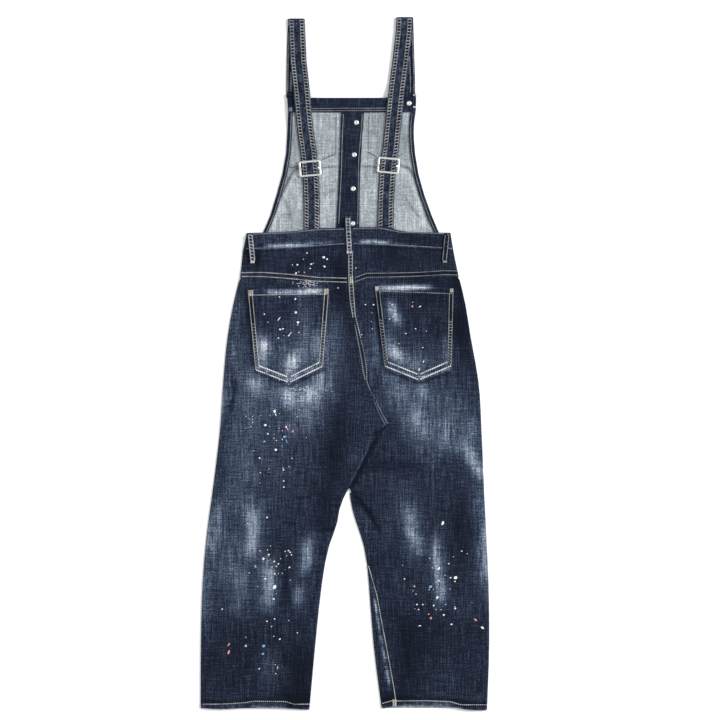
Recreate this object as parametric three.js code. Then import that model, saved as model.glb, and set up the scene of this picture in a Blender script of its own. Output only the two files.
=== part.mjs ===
// Denim dungarees laid out flat with the back up, in millimetres.
// X runs across the garment, Y from the hems to the shoulder folds, Z up from the floor.
// Left and right are the wearer's, which are also left and right as the back is seen.
import * as THREE from "three";

// Driving sizes
const CLOTH = 1.2; // one layer of denim
const GAP = 0.3; // between pieces at seams and between layers
const HALF_GAP = GAP / 2;
const LAYER = CLOTH + GAP;
const BACK_LOWEST = 2 * CLOTH + GAP; // top of the back where it lies straight on the front
const BACK_LOFT = 3; // room that the cloth keeps between front and back
const LOFT_REACH = 34; // how far in from a folded side the back reaches that loft
const FRONT_INSET = 2.3; // the front's raw sides lie this far inside the turned back
const SEAM_LAP = 11; // width of the felled seams and of the pockets' top hems
const SEAM_RISE = 0.5; // what the folded allowance adds to the wall
const HEM = { deep: 10.5, rise: 0.9 };
const WAISTBAND = { thick: 2, frontSeam: 217.5, frontTop: 245 };
const CROTCH = { top: -117, bottom: -242, tuck: 8 };
const STRAP = { width: 32, thick: 2, frontEnd: 526.4 };
const SLIDER = { width: 43, height: 31, bar: 3.2, thick: 2.2, corner: 3 };
const HOOK = { wire: 2.2, y: 526, width: 40, drop: 30, neck: 7 };
const BIB = { top: 519, bandBottom: 490.5, bottom: 245.5, binding: 9.5 };
const BUTTON = { radius: 4.8, high: 1.5, eye: 1.1 };
const LOOP = { width: 10.5, thick: 1.6 };

// Outside edges of the trousers, where the cloth folds from back to front
const OUTLINE = [
  { y: 255, left: -191.5, right: 206.5 },
  { y: 220, left: -198.5, right: 212.5 },
  { y: 171, left: -204.5, right: 222.5 },
  { y: 124, left: -216, right: 234 },
  { y: 54, left: -228.5, right: 245.5 },
  { y: -39, left: -237.5, right: 261.5 },
  { y: -133, left: -244, right: 267 },
  { y: -226, left: -255, right: 271 },
  { y: -343, left: -270.5, right: 277 },
  { y: -437, left: -278, right: 281 },
  { y: -554, left: -281, right: 282 },
  { y: -671, left: -281.5, right: 278 },
];
// Inside edges of the two legs, below the crotch
const INSIDE_LEG = [
  { y: -242, left: 8.3, right: 8.9 },
  { y: -273, left: -7.3, right: 12.2 },
  { y: -320, left: -17.1, right: 25.8 },
  { y: -343, left: -26.8, right: 34 },
  { y: -390, left: -38.5, right: 43.4 },
  { y: -460, left: -48.3, right: 49.2 },
  { y: -554, left: -58, right: 57 },
  { y: -671, left: -68.7, right: 71.7 },
];
// Centre back seam from the waistband to the crotch point
const CENTRE_SEAM = [
  { y: 235, x: 9 },
  { y: 163, x: 13.2 },
  { y: 118, x: 15.5 },
  { y: 80, x: 20.4 },
  { y: 39, x: 29.7 },
  { y: -4, x: 39.5 },
  { y: -33, x: 44.4 },
  { y: -68, x: 58 },
  { y: -104, x: 75.6 },
  { y: -117, x: 82.4 },
];
// The left leg's fold over the right leg, from the crotch point down to the gap between the legs
const CROTCH_FOLD = [
  { y: -117, x: 82.4 },
  { y: -133, x: 68.7 },
  { y: -158, x: 53.1 },
  { y: -187, x: 37.5 },
  { y: -217, x: 21.9 },
  { y: -242, x: 8.3 },
];
// The right leg is turned a little, so its inseam lies on the back
const INSEAM_RIGHT = [
  { y: -254, x: 13.4 },
  { y: -343, x: 38.6 },
  { y: -390, x: 48.3 },
  { y: -433, x: 58.4 },
  { y: -518, x: 75.4 },
  { y: -603, x: 92.1 },
  { y: -676, x: 100.5 },
];
const YOKE_SEAM = [
  { x: -205, y: 167.6 },
  { x: -87, y: 165 },
  { x: -50, y: 159.5 },
  { x: 13, y: 157.5 },
  { x: 42, y: 165 },
  { x: 100, y: 167 },
  { x: 223, y: 170 },
];
const WAIST_SEAM = [
  { x: -199, y: 219 },
  { x: -87, y: 226.3 },
  { x: 11, y: 232.2 },
  { x: 108, y: 227.9 },
  { x: 213, y: 221 },
];
const WAIST_TOP = [
  { x: -191, y: 255.2 },
  { x: -107, y: 258 },
  { x: -56, y: 263.9 },
  { x: 0, y: 265 },
  { x: 69, y: 266.6 },
  { x: 92, y: 264.3 },
  { x: 108, y: 259.4 },
  { x: 178, y: 256.1 },
  { x: 207, y: 255.8 },
];
const HEM_LEFT = [
  { x: -281, y: -671.5 },
  { x: -240, y: -673 },
  { x: -180, y: -670 },
  { x: -125, y: -671 },
  { x: -69, y: -675 },
];
const HEM_RIGHT = [
  { x: 72, y: -672.5 },
  { x: 104, y: -666.5 },
  { x: 147, y: -665.8 },
  { x: 209, y: -668.7 },
  { x: 244, y: -675 },
  { x: 278, y: -676 },
];
// How much of its loft the back loses towards the inside edge, for each leg
const INSIDE_FLATNESS = [
  { y: -60, left: 0, right: 0 },
  { y: -135, left: 0.4, right: 1 },
  { y: -238, left: 0.4, right: 1 },
  { y: -262, left: 1, right: 1 },
];
// The largest folds of the back: a soft trough or ridge from one point to another
const FOLDS = [
  { x: 14, y: -265, toX: 68, toY: -326, width: 15, height: -1.1 },
  { x: -125, y: -308, toX: -28, toY: -328, width: 16, height: -1.2 },
  { x: -8, y: -95, toX: -2, toY: -160, width: 24, height: -1.2 },
  { x: 96, y: -150, toX: 140, toY: -255, width: 24, height: -0.8 },
  { x: -205, y: 20, toX: -222, toY: -60, width: 18, height: -0.9 },
];
const BIB_EDGE = [
  { y: 520, left: -112.6, right: 139.4 },
  { y: 491, left: -110.7, right: 138.4 },
  { y: 474, left: -111.4, right: 135.7 },
  { y: 437, left: -113, right: 135.2 },
  { y: 407, left: -115, right: 137.8 },
  { y: 378, left: -120, right: 142.4 },
  { y: 349, left: -127.8, right: 149.6 },
  { y: 320, left: -136, right: 158.6 },
  { y: 290, left: -145.2, right: 169.7 },
  { y: 257, left: -158.4, right: 183.4 },
  { y: 241, left: -166.2, right: 190.2 },
];
const PLACKET_EDGE = [
  { y: 490, left: -6.7, right: 37.9 },
  { y: 448, left: -8.9, right: 34.8 },
  { y: 397, left: -10.4, right: 30.9 },
  { y: 270, left: -16.5, right: 28.6 },
  { y: 245, left: -17.6, right: 28 },
];
const PLACKET_BUTTONS = [
  { x: 22.5, y: 470.8 },
  { x: 18.4, y: 408 },
  { x: 16.3, y: 341.7 },
  { x: 15.1, y: 273.7 },
];
// Each strap's run up the back, the slider on it, and its run down the front to the bib's corner
const STRAPS = {
  left: {
    lean: 0.087,
    slider: { x: -67.8, y: 380.9 },
    foldY: 671,
    button: { x: -92, y: 508 },
    back: [
      { y: 249, x: -64.5, on: "bib" },
      { y: 318, x: -64.5, on: "bib" },
      { y: "slider" },
      { y: 410, x: -70.2, on: "bib" },
      { y: 448, x: -75.6, on: "bib" },
      { y: 480, x: -79.2, on: "bib" },
      { y: 490, x: -80.2, on: "band" },
      { y: 501, x: -81.2, on: "button" },
      { y: 515, x: -82.4, on: "button" },
      { y: 523, x: -83, on: "band" },
      { y: 548, x: -85.8, on: "front" },
      { y: 591, x: -90.6, on: "front" },
      { y: 650, x: -93, on: "front" },
    ],
    front: [
      { x: -96, y: 640 },
      { x: -97.5, y: 591 },
      { x: -98, y: 545 },
    ],
  },
  right: {
    lean: -0.098,
    slider: { x: 85.1, y: 386.8 },
    foldY: 673.8,
    button: { x: 125.1, y: 507.9 },
    back: [
      { y: 249, x: 79.2, on: "bib" },
      { y: 318, x: 80.2, on: "bib" },
      { y: "slider" },
      { y: 416, x: 89.2, on: "bib" },
      { y: 448, x: 92.4, on: "bib" },
      { y: 480, x: 95.6, on: "bib" },
      { y: 490, x: 96.6, on: "band" },
      { y: 523, x: 100.1, on: "band" },
      { y: 548, x: 103.2, on: "front" },
      { y: 597, x: 109.7, on: "front" },
      { y: 650, x: 115.6, on: "front" },
    ],
    front: [
      { x: 118.8, y: 640 },
      { x: 120.2, y: 591 },
      { x: 121.6, y: 545 },
    ],
  },
};
const POCKETS = {
  left: {
    topLeft: [-189.4, 144.8],
    topRight: [-30.3, 147.1],
    lowRight: [-42.4, -5.9],
    point: [-108.7, -38.1],
    lowLeft: [-174.4, -12.8],
  },
  right: {
    topLeft: [58, 153],
    topRight: [212.3, 147.5],
    lowRight: [208.4, -4.8],
    point: [144.4, -32.9],
    lowLeft: [76.7, -5.6],
  },
};
const BELT_LOOPS = {
  left: { x: -184.6, y: 254, toX: -178.6, toY: 197.5 },
  centre: { x: 5.6, y: 287, toX: 9.3, toY: 213 },
  right: { x: 199.6, y: 254, toX: 193.6, toY: 197.5 },
};

// Materials
const rawDenim = new THREE.MeshStandardMaterial({ color: 0x2c3549, roughness: 0.92, metalness: 0 });
const wornDenim = new THREE.MeshStandardMaterial({ color: 0x3d485f, roughness: 0.92, metalness: 0 });
const reverseDenim = new THREE.MeshStandardMaterial({ color: 0xaab4b9, roughness: 0.95, metalness: 0 });
const bandDenim = new THREE.MeshStandardMaterial({ color: 0x272d3d, roughness: 0.92, metalness: 0 });
const nickel = new THREE.MeshStandardMaterial({ color: 0xd9dadb, roughness: 0.28, metalness: 1 });

const { lerp, smoothstep } = THREE.MathUtils;

// A value that follows the rows of a table, smooth unless another kind of interpolant is named
function follow(rows, key, value, Kind = THREE.CubicInterpolant) {
  const sorted = [...rows].sort((a, b) => a[key] - b[key]);
  const keys = sorted.map((row) => row[key]);
  const values = sorted.map((row) => row[value]);
  const curve = new Kind(keys, values, 1);
  return (at) => curve.evaluate(at)[0];
}

const outline = { left: follow(OUTLINE, "y", "left"), right: follow(OUTLINE, "y", "right") };
const insideLeg = { left: follow(INSIDE_LEG, "y", "left"), right: follow(INSIDE_LEG, "y", "right") };
const centreSeam = follow(CENTRE_SEAM, "y", "x");
const crotchFold = follow(CROTCH_FOLD, "y", "x");
const inseamRight = follow(INSEAM_RIGHT, "y", "x");
const yokeSeam = follow(YOKE_SEAM, "x", "y");
const waistSeam = follow(WAIST_SEAM, "x", "y");
const waistTop = follow(WAIST_TOP, "x", "y");
const hem = { left: follow(HEM_LEFT, "x", "y"), right: follow(HEM_RIGHT, "x", "y") };
const bibEdge = { left: follow(BIB_EDGE, "y", "left"), right: follow(BIB_EDGE, "y", "right") };
const placketEdge = { left: follow(PLACKET_EDGE, "y", "left"), right: follow(PLACKET_EDGE, "y", "right") };
const flatness = {
  left: follow(INSIDE_FLATNESS, "y", "left", THREE.LinearInterpolant),
  right: follow(INSIDE_FLATNESS, "y", "right", THREE.LinearInterpolant),
};

// Where the left and right backs part, from the waist down to the gap between the legs
function backPart(y) {
  return y > CROTCH.top ? centreSeam(y) : crotchFold(y);
}

// The inside edge that a leg's back thins towards
function backInside(side, y) {
  return y > CROTCH.bottom ? backPart(y) : insideLeg[side](y);
}

// How far (x, y) lies from a fold's line
function awayFromFold(fold, x, y) {
  const start = new THREE.Vector3(fold.x, fold.y, 0);
  const end = new THREE.Vector3(fold.toX, fold.toY, 0);
  const point = new THREE.Vector3(x, y, 0);
  const nearest = new THREE.Line3(start, end).closestPointToPoint(point, true, new THREE.Vector3());
  return nearest.distanceTo(point);
}

// What the large folds add to the back's height
function foldHeight(x, y) {
  return FOLDS.reduce((sum, fold) => {
    const share = awayFromFold(fold, x, y) / fold.width;
    return sum + fold.height * Math.exp(-share * share);
  }, 0);
}

// Height of the back above its lowest level
function loft(side, x, y) {
  const fromOutside = side === "left" ? x - outline.left(y) : outline.right(y) - x;
  const fromInside = side === "left" ? backInside(side, y) - x : x - backInside(side, y);
  const inside = 1 - flatness[side](y) * (1 - smoothstep(fromInside, 0, LOFT_REACH));
  const full = BACK_LOFT * smoothstep(fromOutside, 0, LOFT_REACH) * inside;
  return Math.max(0, full + foldHeight(x, y) * Math.min(1, full / BACK_LOFT));
}

function backTop(side) {
  return (x, y) => BACK_LOWEST + loft(side, x, y);
}

function waistLoft(x, y) {
  const fromLeft = smoothstep(x - outline.left(y), 0, LOFT_REACH);
  const fromRight = smoothstep(outline.right(y) - x, 0, LOFT_REACH);
  return BACK_LOFT * fromLeft * fromRight;
}

function waistbandTop(x, y) {
  return LAYER + WAISTBAND.thick + waistLoft(x, y);
}

// The bib's corners lie on the straps' wire hooks
function bibLift(x, y) {
  const flatHalf = HOOK.width / 2 + 4;
  const fade = 40;
  const up = smoothstep(y, HOOK.y - HOOK.drop - 4 - fade, HOOK.y - HOOK.drop - 4);
  const across = Object.values(STRAPS).map(({ front }) => {
    const away = Math.abs(x - front[front.length - 1].x);
    return 1 - smoothstep(away, flatHalf, flatHalf + fade);
  });
  return (HOOK.wire + GAP) * up * Math.max(...across);
}

const bibTop = (x, y) => CLOTH + bibLift(x, y);
const facingTop = (x, y) => bibTop(x, y) + LAYER;

// A closed wall between two grids of points that match
function wall(outer, inner) {
  const rows = outer.length;
  const columns = outer[0].length;
  const points = [...outer.flat(), ...inner.flat()];
  const index = [];
  const quad = (a, b, c, d) => index.push(a, b, c, a, c, d);
  const at = (row, column) => row * columns + column;
  const under = (row, column) => rows * columns + at(row, column);
  for (let r = 0; r + 1 < rows; r++) {
    for (let c = 0; c + 1 < columns; c++) {
      quad(at(r, c), at(r + 1, c), at(r + 1, c + 1), at(r, c + 1));
      quad(under(r, c), under(r, c + 1), under(r + 1, c + 1), under(r + 1, c));
    }
    quad(at(r, 0), under(r, 0), under(r + 1, 0), at(r + 1, 0));
    quad(at(r, columns - 1), at(r + 1, columns - 1), under(r + 1, columns - 1), under(r, columns - 1));
  }
  for (let c = 0; c + 1 < columns; c++) {
    quad(at(0, c), at(0, c + 1), under(0, c + 1), under(0, c));
    quad(at(rows - 1, c), under(rows - 1, c), under(rows - 1, c + 1), at(rows - 1, c + 1));
  }
  const geometry = new THREE.BufferGeometry().setFromPoints(points);
  geometry.setIndex(facesOut(points, index) ? index : index.reverse());
  return geometry;
}

function facesOut(points, index) {
  const normal = new THREE.Vector3();
  let volume = 0;
  for (let i = 0; i < index.length; i += 3) {
    normal.crossVectors(points[index[i + 1]], points[index[i + 2]]);
    volume += points[index[i]].dot(normal);
  }
  return volume > 0;
}

const spaced = (count) => Array.from({ length: count + 1 }, (_, i) => i / count);
const TURN_STEPS = [0, 1, 2, 3].map((step) => (step * Math.PI) / 6);

// A cut piece of cloth as a wall. place(u, row) is a point of the cut seen from above, u running 0 to 1
// from its left edge to its right one, top(x, y) its upper face and rise(x, y) what is folded onto it.
// turn says which sides fold down to base(x, y), and how far, from 0 to 1, at a row.
function clothPiece({ rows, columns, place, top, thick = CLOTH, rise = () => 0, base = () => 0, turn = {} }) {
  const outer = [];
  const inner = [];
  for (const row of rows) {
    const ends = [place(0, row), place(1, row)];
    const wide = Math.hypot(ends[1][0] - ends[0][0], ends[1][1] - ends[0][1]);
    const radius = ends.map(([x, y]) => top(x, y) - base(x, y));
    const sides = [turn.left, turn.right];
    const inset = sides.map((side, end) => (side ? radius[end] / wide : 0));
    const outerRow = [];
    const innerRow = [];
    const add = (u, drop, innerU, innerDrop) => {
      const [x, y] = place(u, row);
      const [innerX, innerY] = place(innerU, row);
      const z = top(x, y);
      outerRow.push(new THREE.Vector3(x, y, z + rise(x, y) - drop));
      innerRow.push(new THREE.Vector3(innerX, innerY, z - thick - innerDrop));
    };
    const addTurn = (end, angle) => {
      const share = sides[end](row);
      const away = (radius[end] * (1 - Math.cos(angle))) / wide;
      const innerAway = (radius[end] - (radius[end] - thick * share) * Math.cos(angle)) / wide;
      const fall = share * (1 - Math.sin(angle));
      const toU = (distance) => (end === 0 ? distance : 1 - distance);
      add(toU(away), radius[end] * fall, toU(innerAway), (radius[end] - thick) * fall);
    };
    if (sides[0]) TURN_STEPS.slice(0, -1).forEach((angle) => addTurn(0, angle));
    for (const column of columns) {
      const u = lerp(inset[0], 1 - inset[1], column);
      add(u, 0, u, 0);
    }
    if (sides[1]) TURN_STEPS.slice(0, -1).reverse().forEach((angle) => addTurn(1, angle));
    outer.push(outerRow);
    inner.push(innerRow);
  }
  return wall(outer, inner);
}

// A point between two edges at a row whose height above the hem may follow a curved seam
function betweenEdges(left, right, height) {
  return (u, row) => {
    let y = row;
    let x = 0;
    for (let pass = 0; pass < 6; pass++) {
      x = lerp(left(y), right(y), u);
      y = height(x, row);
    }
    return [x, y];
  };
}

const dungarees = new THREE.Group();
function sew(name, geometry, material) {
  const mesh = new THREE.Mesh(geometry, material);
  mesh.name = name;
  dungarees.add(mesh);
  return mesh;
}

// Legs
const always = () => 1;
const SEAM_LEVEL = 165;
const HEM_LEVEL = -671;
const BEND_REACH = 70;
const LEG_ROWS = [165, 140, 112, 84, 56, 28, 0, -30, -60, -90, -117, -140, -165, -190, -215, -242, -252, -262]
  .concat([-285, -308, -331, -355, -390, -430, -470, -510, -550, -590, -630, -655])
  .concat([HEM_LEVEL + HEM.deep + 0.4, HEM_LEVEL + HEM.deep - 0.4, HEM_LEVEL]);

// Rows are level down the leg, and follow the yoke seam and the hem where they near them
function legHeight(side) {
  return (x, row) => {
    const nearSeam = 1 - smoothstep(SEAM_LEVEL - row, 0, BEND_REACH);
    const nearHem = 1 - smoothstep(row - HEM_LEVEL - HEM.deep, 0, BEND_REACH);
    const seamShift = yokeSeam(x) - HALF_GAP - SEAM_LEVEL;
    const hemShift = hem[side](x) - HEM_LEVEL;
    return row + nearSeam * seamShift + nearHem * hemShift;
  };
}

function hemRise(side) {
  return (x, y) => (y < hem[side](x) + HEM.deep ? HEM.rise : 0);
}

function leftBackInside(y) {
  return y > CROTCH.bottom ? backPart(y) - HALF_GAP : insideLeg.left(y);
}

// Below the crotch point the right back tucks under the left leg's fold, and then ends at the inseam
function rightBackInside(y) {
  if (y < CROTCH.bottom) return inseamRight(y) + HALF_GAP;
  const tucked = smoothstep(-y, 140, 165) * (1 - smoothstep(-y, 212, 240));
  return backPart(y) + HALF_GAP - CROTCH.tuck * tucked;
}

const leftLegTurn = (row) => smoothstep(-row, -CROTCH.bottom, -CROTCH.bottom + 20);

sew(
  "leg_back_left",
  clothPiece({
    rows: LEG_ROWS,
    columns: spaced(12),
    place: betweenEdges(outline.left, leftBackInside, legHeight("left")),
    top: backTop("left"),
    rise: hemRise("left"),
    turn: { left: always, right: leftLegTurn },
  }),
  wornDenim,
);
sew(
  "leg_back_right",
  clothPiece({
    rows: LEG_ROWS,
    columns: spaced(12),
    place: betweenEdges(rightBackInside, outline.right, legHeight("right")),
    top: backTop("right"),
    rise: hemRise("right"),
    turn: { right: always },
  }),
  wornDenim,
);
// The stretch of the right front that turns over the inside of the leg and shows beside the inseam
sew(
  "leg_front_right_turn",
  clothPiece({
    rows: LEG_ROWS.filter((row) => row <= -252),
    columns: spaced(3),
    place: betweenEdges(insideLeg.right, (y) => inseamRight(y) - HALF_GAP, legHeight("right")),
    top: backTop("right"),
    rise: hemRise("right"),
    turn: { left: always },
  }),
  wornDenim,
);

// The fronts lie flat on the floor inside the turned sides of the back
const FRONT_ROWS = [WAISTBAND.frontSeam - GAP, 195, ...LEG_ROWS.filter((row) => row > -655)];
const frontSplit = (y) => smoothstep(-y, 215, -CROTCH.bottom);
const frontInside = {
  left: (y) => lerp(10 - HALF_GAP, insideLeg.left(y) - FRONT_INSET, frontSplit(y)),
  right: (y) => lerp(10 + HALF_GAP, insideLeg.right(y) + FRONT_INSET, frontSplit(y)),
};
const frontOutside = {
  left: (y) => outline.left(y) + FRONT_INSET,
  right: (y) => outline.right(y) - FRONT_INSET,
};
const levelRow = (x, row) => row;
const frontTop = () => CLOTH;
sew(
  "leg_front_left",
  clothPiece({
    rows: [...FRONT_ROWS, -672.5],
    columns: spaced(1),
    place: betweenEdges(frontOutside.left, frontInside.left, levelRow),
    top: frontTop,
  }),
  wornDenim,
);
sew(
  "leg_front_right",
  clothPiece({
    rows: [...FRONT_ROWS, -671.5],
    columns: spaced(1),
    place: betweenEdges(frontInside.right, frontOutside.right, levelRow),
    top: frontTop,
  }),
  wornDenim,
);

// Yokes, from the waistband's seam at 0 to the yoke seam at 1
function yokeHeight(x, row) {
  return lerp(waistSeam(x) - HALF_GAP, yokeSeam(x) + HALF_GAP, row);
}

function yokeRise(x, y) {
  return y < yokeSeam(x) + SEAM_LAP ? SEAM_RISE : 0;
}

const YOKE_ROWS = [0, 0.25, 0.5, 0.78, 0.85, 1];
const seamSide = { left: (y) => centreSeam(y) - HALF_GAP, right: (y) => centreSeam(y) + HALF_GAP };
sew(
  "yoke_left",
  clothPiece({
    rows: YOKE_ROWS,
    columns: spaced(12),
    place: betweenEdges(outline.left, seamSide.left, yokeHeight),
    top: backTop("left"),
    rise: yokeRise,
    turn: { left: always },
  }),
  rawDenim,
);
sew(
  "yoke_right",
  clothPiece({
    rows: YOKE_ROWS,
    columns: spaced(12),
    place: betweenEdges(seamSide.right, outline.right, yokeHeight),
    top: backTop("right"),
    rise: yokeRise,
    turn: { right: always },
  }),
  rawDenim,
);

// Waistband, doubled at the back and plain at the front, where the bib is sewn to it
sew(
  "waistband_back",
  clothPiece({
    rows: spaced(3),
    columns: spaced(24),
    place: betweenEdges(outline.left, outline.right, (x, row) =>
      lerp(waistSeam(x) + HALF_GAP, waistTop(x), row),
    ),
    top: waistbandTop,
    thick: WAISTBAND.thick,
    turn: { left: always, right: always },
  }),
  wornDenim,
);
sew(
  "waistband_front",
  clothPiece({
    rows: [WAISTBAND.frontSeam, 233, WAISTBAND.frontTop],
    columns: spaced(1),
    place: betweenEdges(
      (y) => frontOutside.left(y) + 1,
      (y) => frontOutside.right(y) - 1,
      levelRow,
    ),
    top: frontTop,
  }),
  rawDenim,
);

// Pockets lie on the backs, with a folded hem along the mouth
function pocketPlace({ topLeft, topRight, lowLeft, lowRight, point }) {
  return (u, row) => {
    const mouth = [lerp(topLeft[0], topRight[0], u), lerp(topLeft[1], topRight[1], u)];
    const [from, to, share] = u < 0.5 ? [lowLeft, point, u * 2] : [point, lowRight, u * 2 - 1];
    const foot = [lerp(from[0], to[0], share), lerp(from[1], to[1], share)];
    return [lerp(mouth[0], foot[0], row), lerp(mouth[1], foot[1], row)];
  };
}

function pocketRise({ topLeft, topRight }) {
  const hemLine = Math.min(topLeft[1], topRight[1]) - SEAM_LAP;
  return (x, y) => (y > hemLine ? SEAM_RISE : 0);
}

for (const [side, corners] of Object.entries(POCKETS)) {
  sew(
    "pocket_" + side,
    clothPiece({
      rows: [0, 0.055, 0.09, 0.25, 0.4, 0.55, 0.7, 0.85, 1],
      columns: spaced(10),
      place: pocketPlace(corners),
      top: (x, y) => backTop(side)(x, y) + LAYER,
      rise: pocketRise(corners),
    }),
    wornDenim,
  );
}

// Bib: two halves under a button facing, a top facing and bound sides, seen from the inside
const BIB_ROWS = [BIB.bottom, 290, 330, 370, 410, 440, 455, 470, 482, 494, 506, BIB.top - 1.5];
const bibMiddle = (y) => (placketEdge.left(y) + placketEdge.right(y)) / 2;
const bibBase = (x, y) => bibLift(x, y);
sew(
  "bib_left",
  clothPiece({
    rows: BIB_ROWS,
    columns: spaced(7),
    place: betweenEdges((y) => bibEdge.left(y) + FRONT_INSET, (y) => bibMiddle(y) - HALF_GAP, levelRow),
    top: bibTop,
  }),
  reverseDenim,
);
sew(
  "bib_right",
  clothPiece({
    rows: BIB_ROWS,
    columns: spaced(7),
    place: betweenEdges((y) => bibMiddle(y) + HALF_GAP, (y) => bibEdge.right(y) - FRONT_INSET, levelRow),
    top: bibTop,
  }),
  reverseDenim,
);
sew(
  "bib_placket",
  clothPiece({
    rows: [BIB.bottom, 310, 370, 430, BIB.bandBottom - GAP],
    columns: spaced(4),
    place: betweenEdges(placketEdge.left, placketEdge.right, levelRow),
    top: facingTop,
  }),
  bandDenim,
);
sew(
  "bib_band",
  clothPiece({
    rows: [BIB.bandBottom, 498, 508, BIB.top],
    columns: spaced(20),
    place: betweenEdges(bibEdge.left, bibEdge.right, levelRow),
    top: facingTop,
    base: bibBase,
    turn: { left: always, right: always },
  }),
  bandDenim,
);
const BINDING_ROWS = BIB_ROWS.filter((row) => row < BIB.bandBottom - 5).concat(BIB.bandBottom - GAP);
sew(
  "bib_binding_left",
  clothPiece({
    rows: BINDING_ROWS,
    columns: spaced(1),
    place: betweenEdges(bibEdge.left, (y) => bibEdge.left(y) + BIB.binding, levelRow),
    top: facingTop,
    base: bibBase,
    turn: { left: always },
  }),
  bandDenim,
);
sew(
  "bib_binding_right",
  clothPiece({
    rows: BINDING_ROWS,
    columns: spaced(1),
    place: betweenEdges((y) => bibEdge.right(y) - BIB.binding, bibEdge.right, levelRow),
    top: facingTop,
    base: bibBase,
    turn: { right: always },
  }),
  bandDenim,
);

// Button backs: a domed cap with a raised rim round its eye
function buttonBack({ x, y }) {
  const { radius, high, eye } = BUTTON;
  const profile = [
    [0, 0],
    [radius, 0],
    [radius, high * 0.45],
    [radius * 0.8, high],
    [radius * 0.45, high],
    [eye, high * 0.6],
    [0, high * 0.6],
  ].map(([r, z]) => new THREE.Vector2(r, z));
  const geometry = new THREE.LatheGeometry(profile, 14).rotateX(Math.PI / 2);
  return geometry.translate(x, y, facingTop(x, y) + GAP);
}

PLACKET_BUTTONS.forEach((button, i) => sew("placket_button_" + (i + 1), buttonBack(button), nickel));
for (const [side, { button }] of Object.entries(STRAPS)) {
  sew("bib_button_" + side, buttonBack(button), nickel);
}

// Straps: each is one doubled ribbon, from under the waistband up the back, over, and down to its hook
const SLIDER_LEVEL = CLOTH + GAP + STRAP.thick + GAP;
const STRAP_LEVELS = {
  bib: (x, y) => bibTop(x, y) + GAP,
  band: (x, y) => facingTop(x, y) + GAP,
  button: (x, y) => facingTop(x, y) + GAP + BUTTON.high + GAP,
  front: () => STRAP.thick + GAP,
};

// The strap dips under the slider's outer bars and rises over its middle bar
function sliderStations({ slider, lean }) {
  const barAway = (SLIDER.height - SLIDER.bar) / 2;
  const over = SLIDER_LEVEL + SLIDER.thick + GAP;
  const steps = [
    { away: barAway + 6, z: LAYER },
    { away: barAway - 3, z: LAYER },
    { away: SLIDER.bar / 2 + 1.8, z: over },
  ];
  const below = steps.map(({ away, z }) => ({ away: -away, z }));
  return [...below, ...steps.reverse()].map(({ away, z }) => ({
    x: slider.x - Math.sin(lean) * away,
    y: slider.y + Math.cos(lean) * away,
    z,
  }));
}

// The highest of what a strap lies on, across its width
function strapRest({ x, y, on }) {
  const edges = [-0.5, -0.25, 0, 0.25, 0.5].map((share) => x + share * STRAP.width);
  return Math.max(...edges.map((edge) => STRAP_LEVELS[on](edge, y)));
}

// Points along the middle of a strap's thickness, each with the lean of its width
function strapRoute(strap) {
  const { lean } = strap;
  const up = strap.back.flatMap((row) =>
    row.y === "slider" ? sliderStations(strap) : [{ x: row.x, y: row.y, z: strapRest(row) }],
  );
  const last = up[up.length - 1];
  const first = strap.front[0];
  const bend = (STRAP.thick + GAP) / 2;
  const over = [90, 60, 30, 0, -30, -60, -90].map((degrees, i) => {
    const angle = THREE.MathUtils.degToRad(degrees);
    return {
      x: lerp(last.x, first.x, 0.35 + i * 0.05),
      y: strap.foldY + bend * Math.cos(angle),
      z: bend + bend * Math.sin(angle),
      lean: lean * (1 - i / 6),
    };
  });
  const end = { x: strap.front[strap.front.length - 1].x, y: STRAP.frontEnd };
  const down = [...strap.front, end].map(({ x, y }) => ({ x, y, z: 0, lean: 0 }));
  return [...up.map((station) => ({ ...station, lean })), ...over, ...down];
}

function ribbon(route, width, thick) {
  const middles = route.map(({ x, y, z }) => new THREE.Vector3(x, y, z + thick / 2));
  const outer = [];
  const inner = [];
  middles.forEach((point, i) => {
    const { lean } = route[i];
    const across = new THREE.Vector3(Math.cos(lean), Math.sin(lean), 0);
    const before = middles[Math.max(0, i - 1)];
    const after = middles[Math.min(middles.length - 1, i + 1)];
    const intoPoint = point.clone().sub(before).normalize();
    const outOfPoint = after.clone().sub(point).normalize();
    const ahead = intoPoint.add(outOfPoint).normalize();
    const normal = across.clone().cross(ahead).normalize();
    const onSide = (side, face) =>
      point.clone().addScaledVector(across, (side * width) / 2).addScaledVector(normal, (face * thick) / 2);
    outer.push([onSide(-1, 1), onSide(1, 1)]);
    inner.push([onSide(-1, -1), onSide(1, -1)]);
  });
  return wall(outer, inner);
}

function roundedRectangle(Outline, width, height, corner, middleY = 0) {
  const w = width / 2 - corner;
  const h = height / 2 - corner;
  const outlinePath = new Outline();
  outlinePath.absarc(w, middleY + h, corner, 0, Math.PI / 2);
  outlinePath.absarc(-w, middleY + h, corner, Math.PI / 2, Math.PI);
  outlinePath.absarc(-w, middleY - h, corner, Math.PI, Math.PI * 1.5);
  outlinePath.absarc(w, middleY - h, corner, Math.PI * 1.5, Math.PI * 2);
  outlinePath.closePath();
  return outlinePath;
}

// A rectangular frame with a middle bar
function sliderFrame() {
  const { width, height, bar, thick, corner } = SLIDER;
  const frame = roundedRectangle(THREE.Shape, width, height, corner);
  const window = (height - 3 * bar) / 2;
  for (const side of [-1, 1]) {
    const middle = (side * (window + bar)) / 2;
    frame.holes.push(roundedRectangle(THREE.Path, width - 2 * bar, window, 1, middle));
  }
  return new THREE.ExtrudeGeometry(frame, { depth: thick, bevelEnabled: false, curveSegments: 3 });
}

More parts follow.
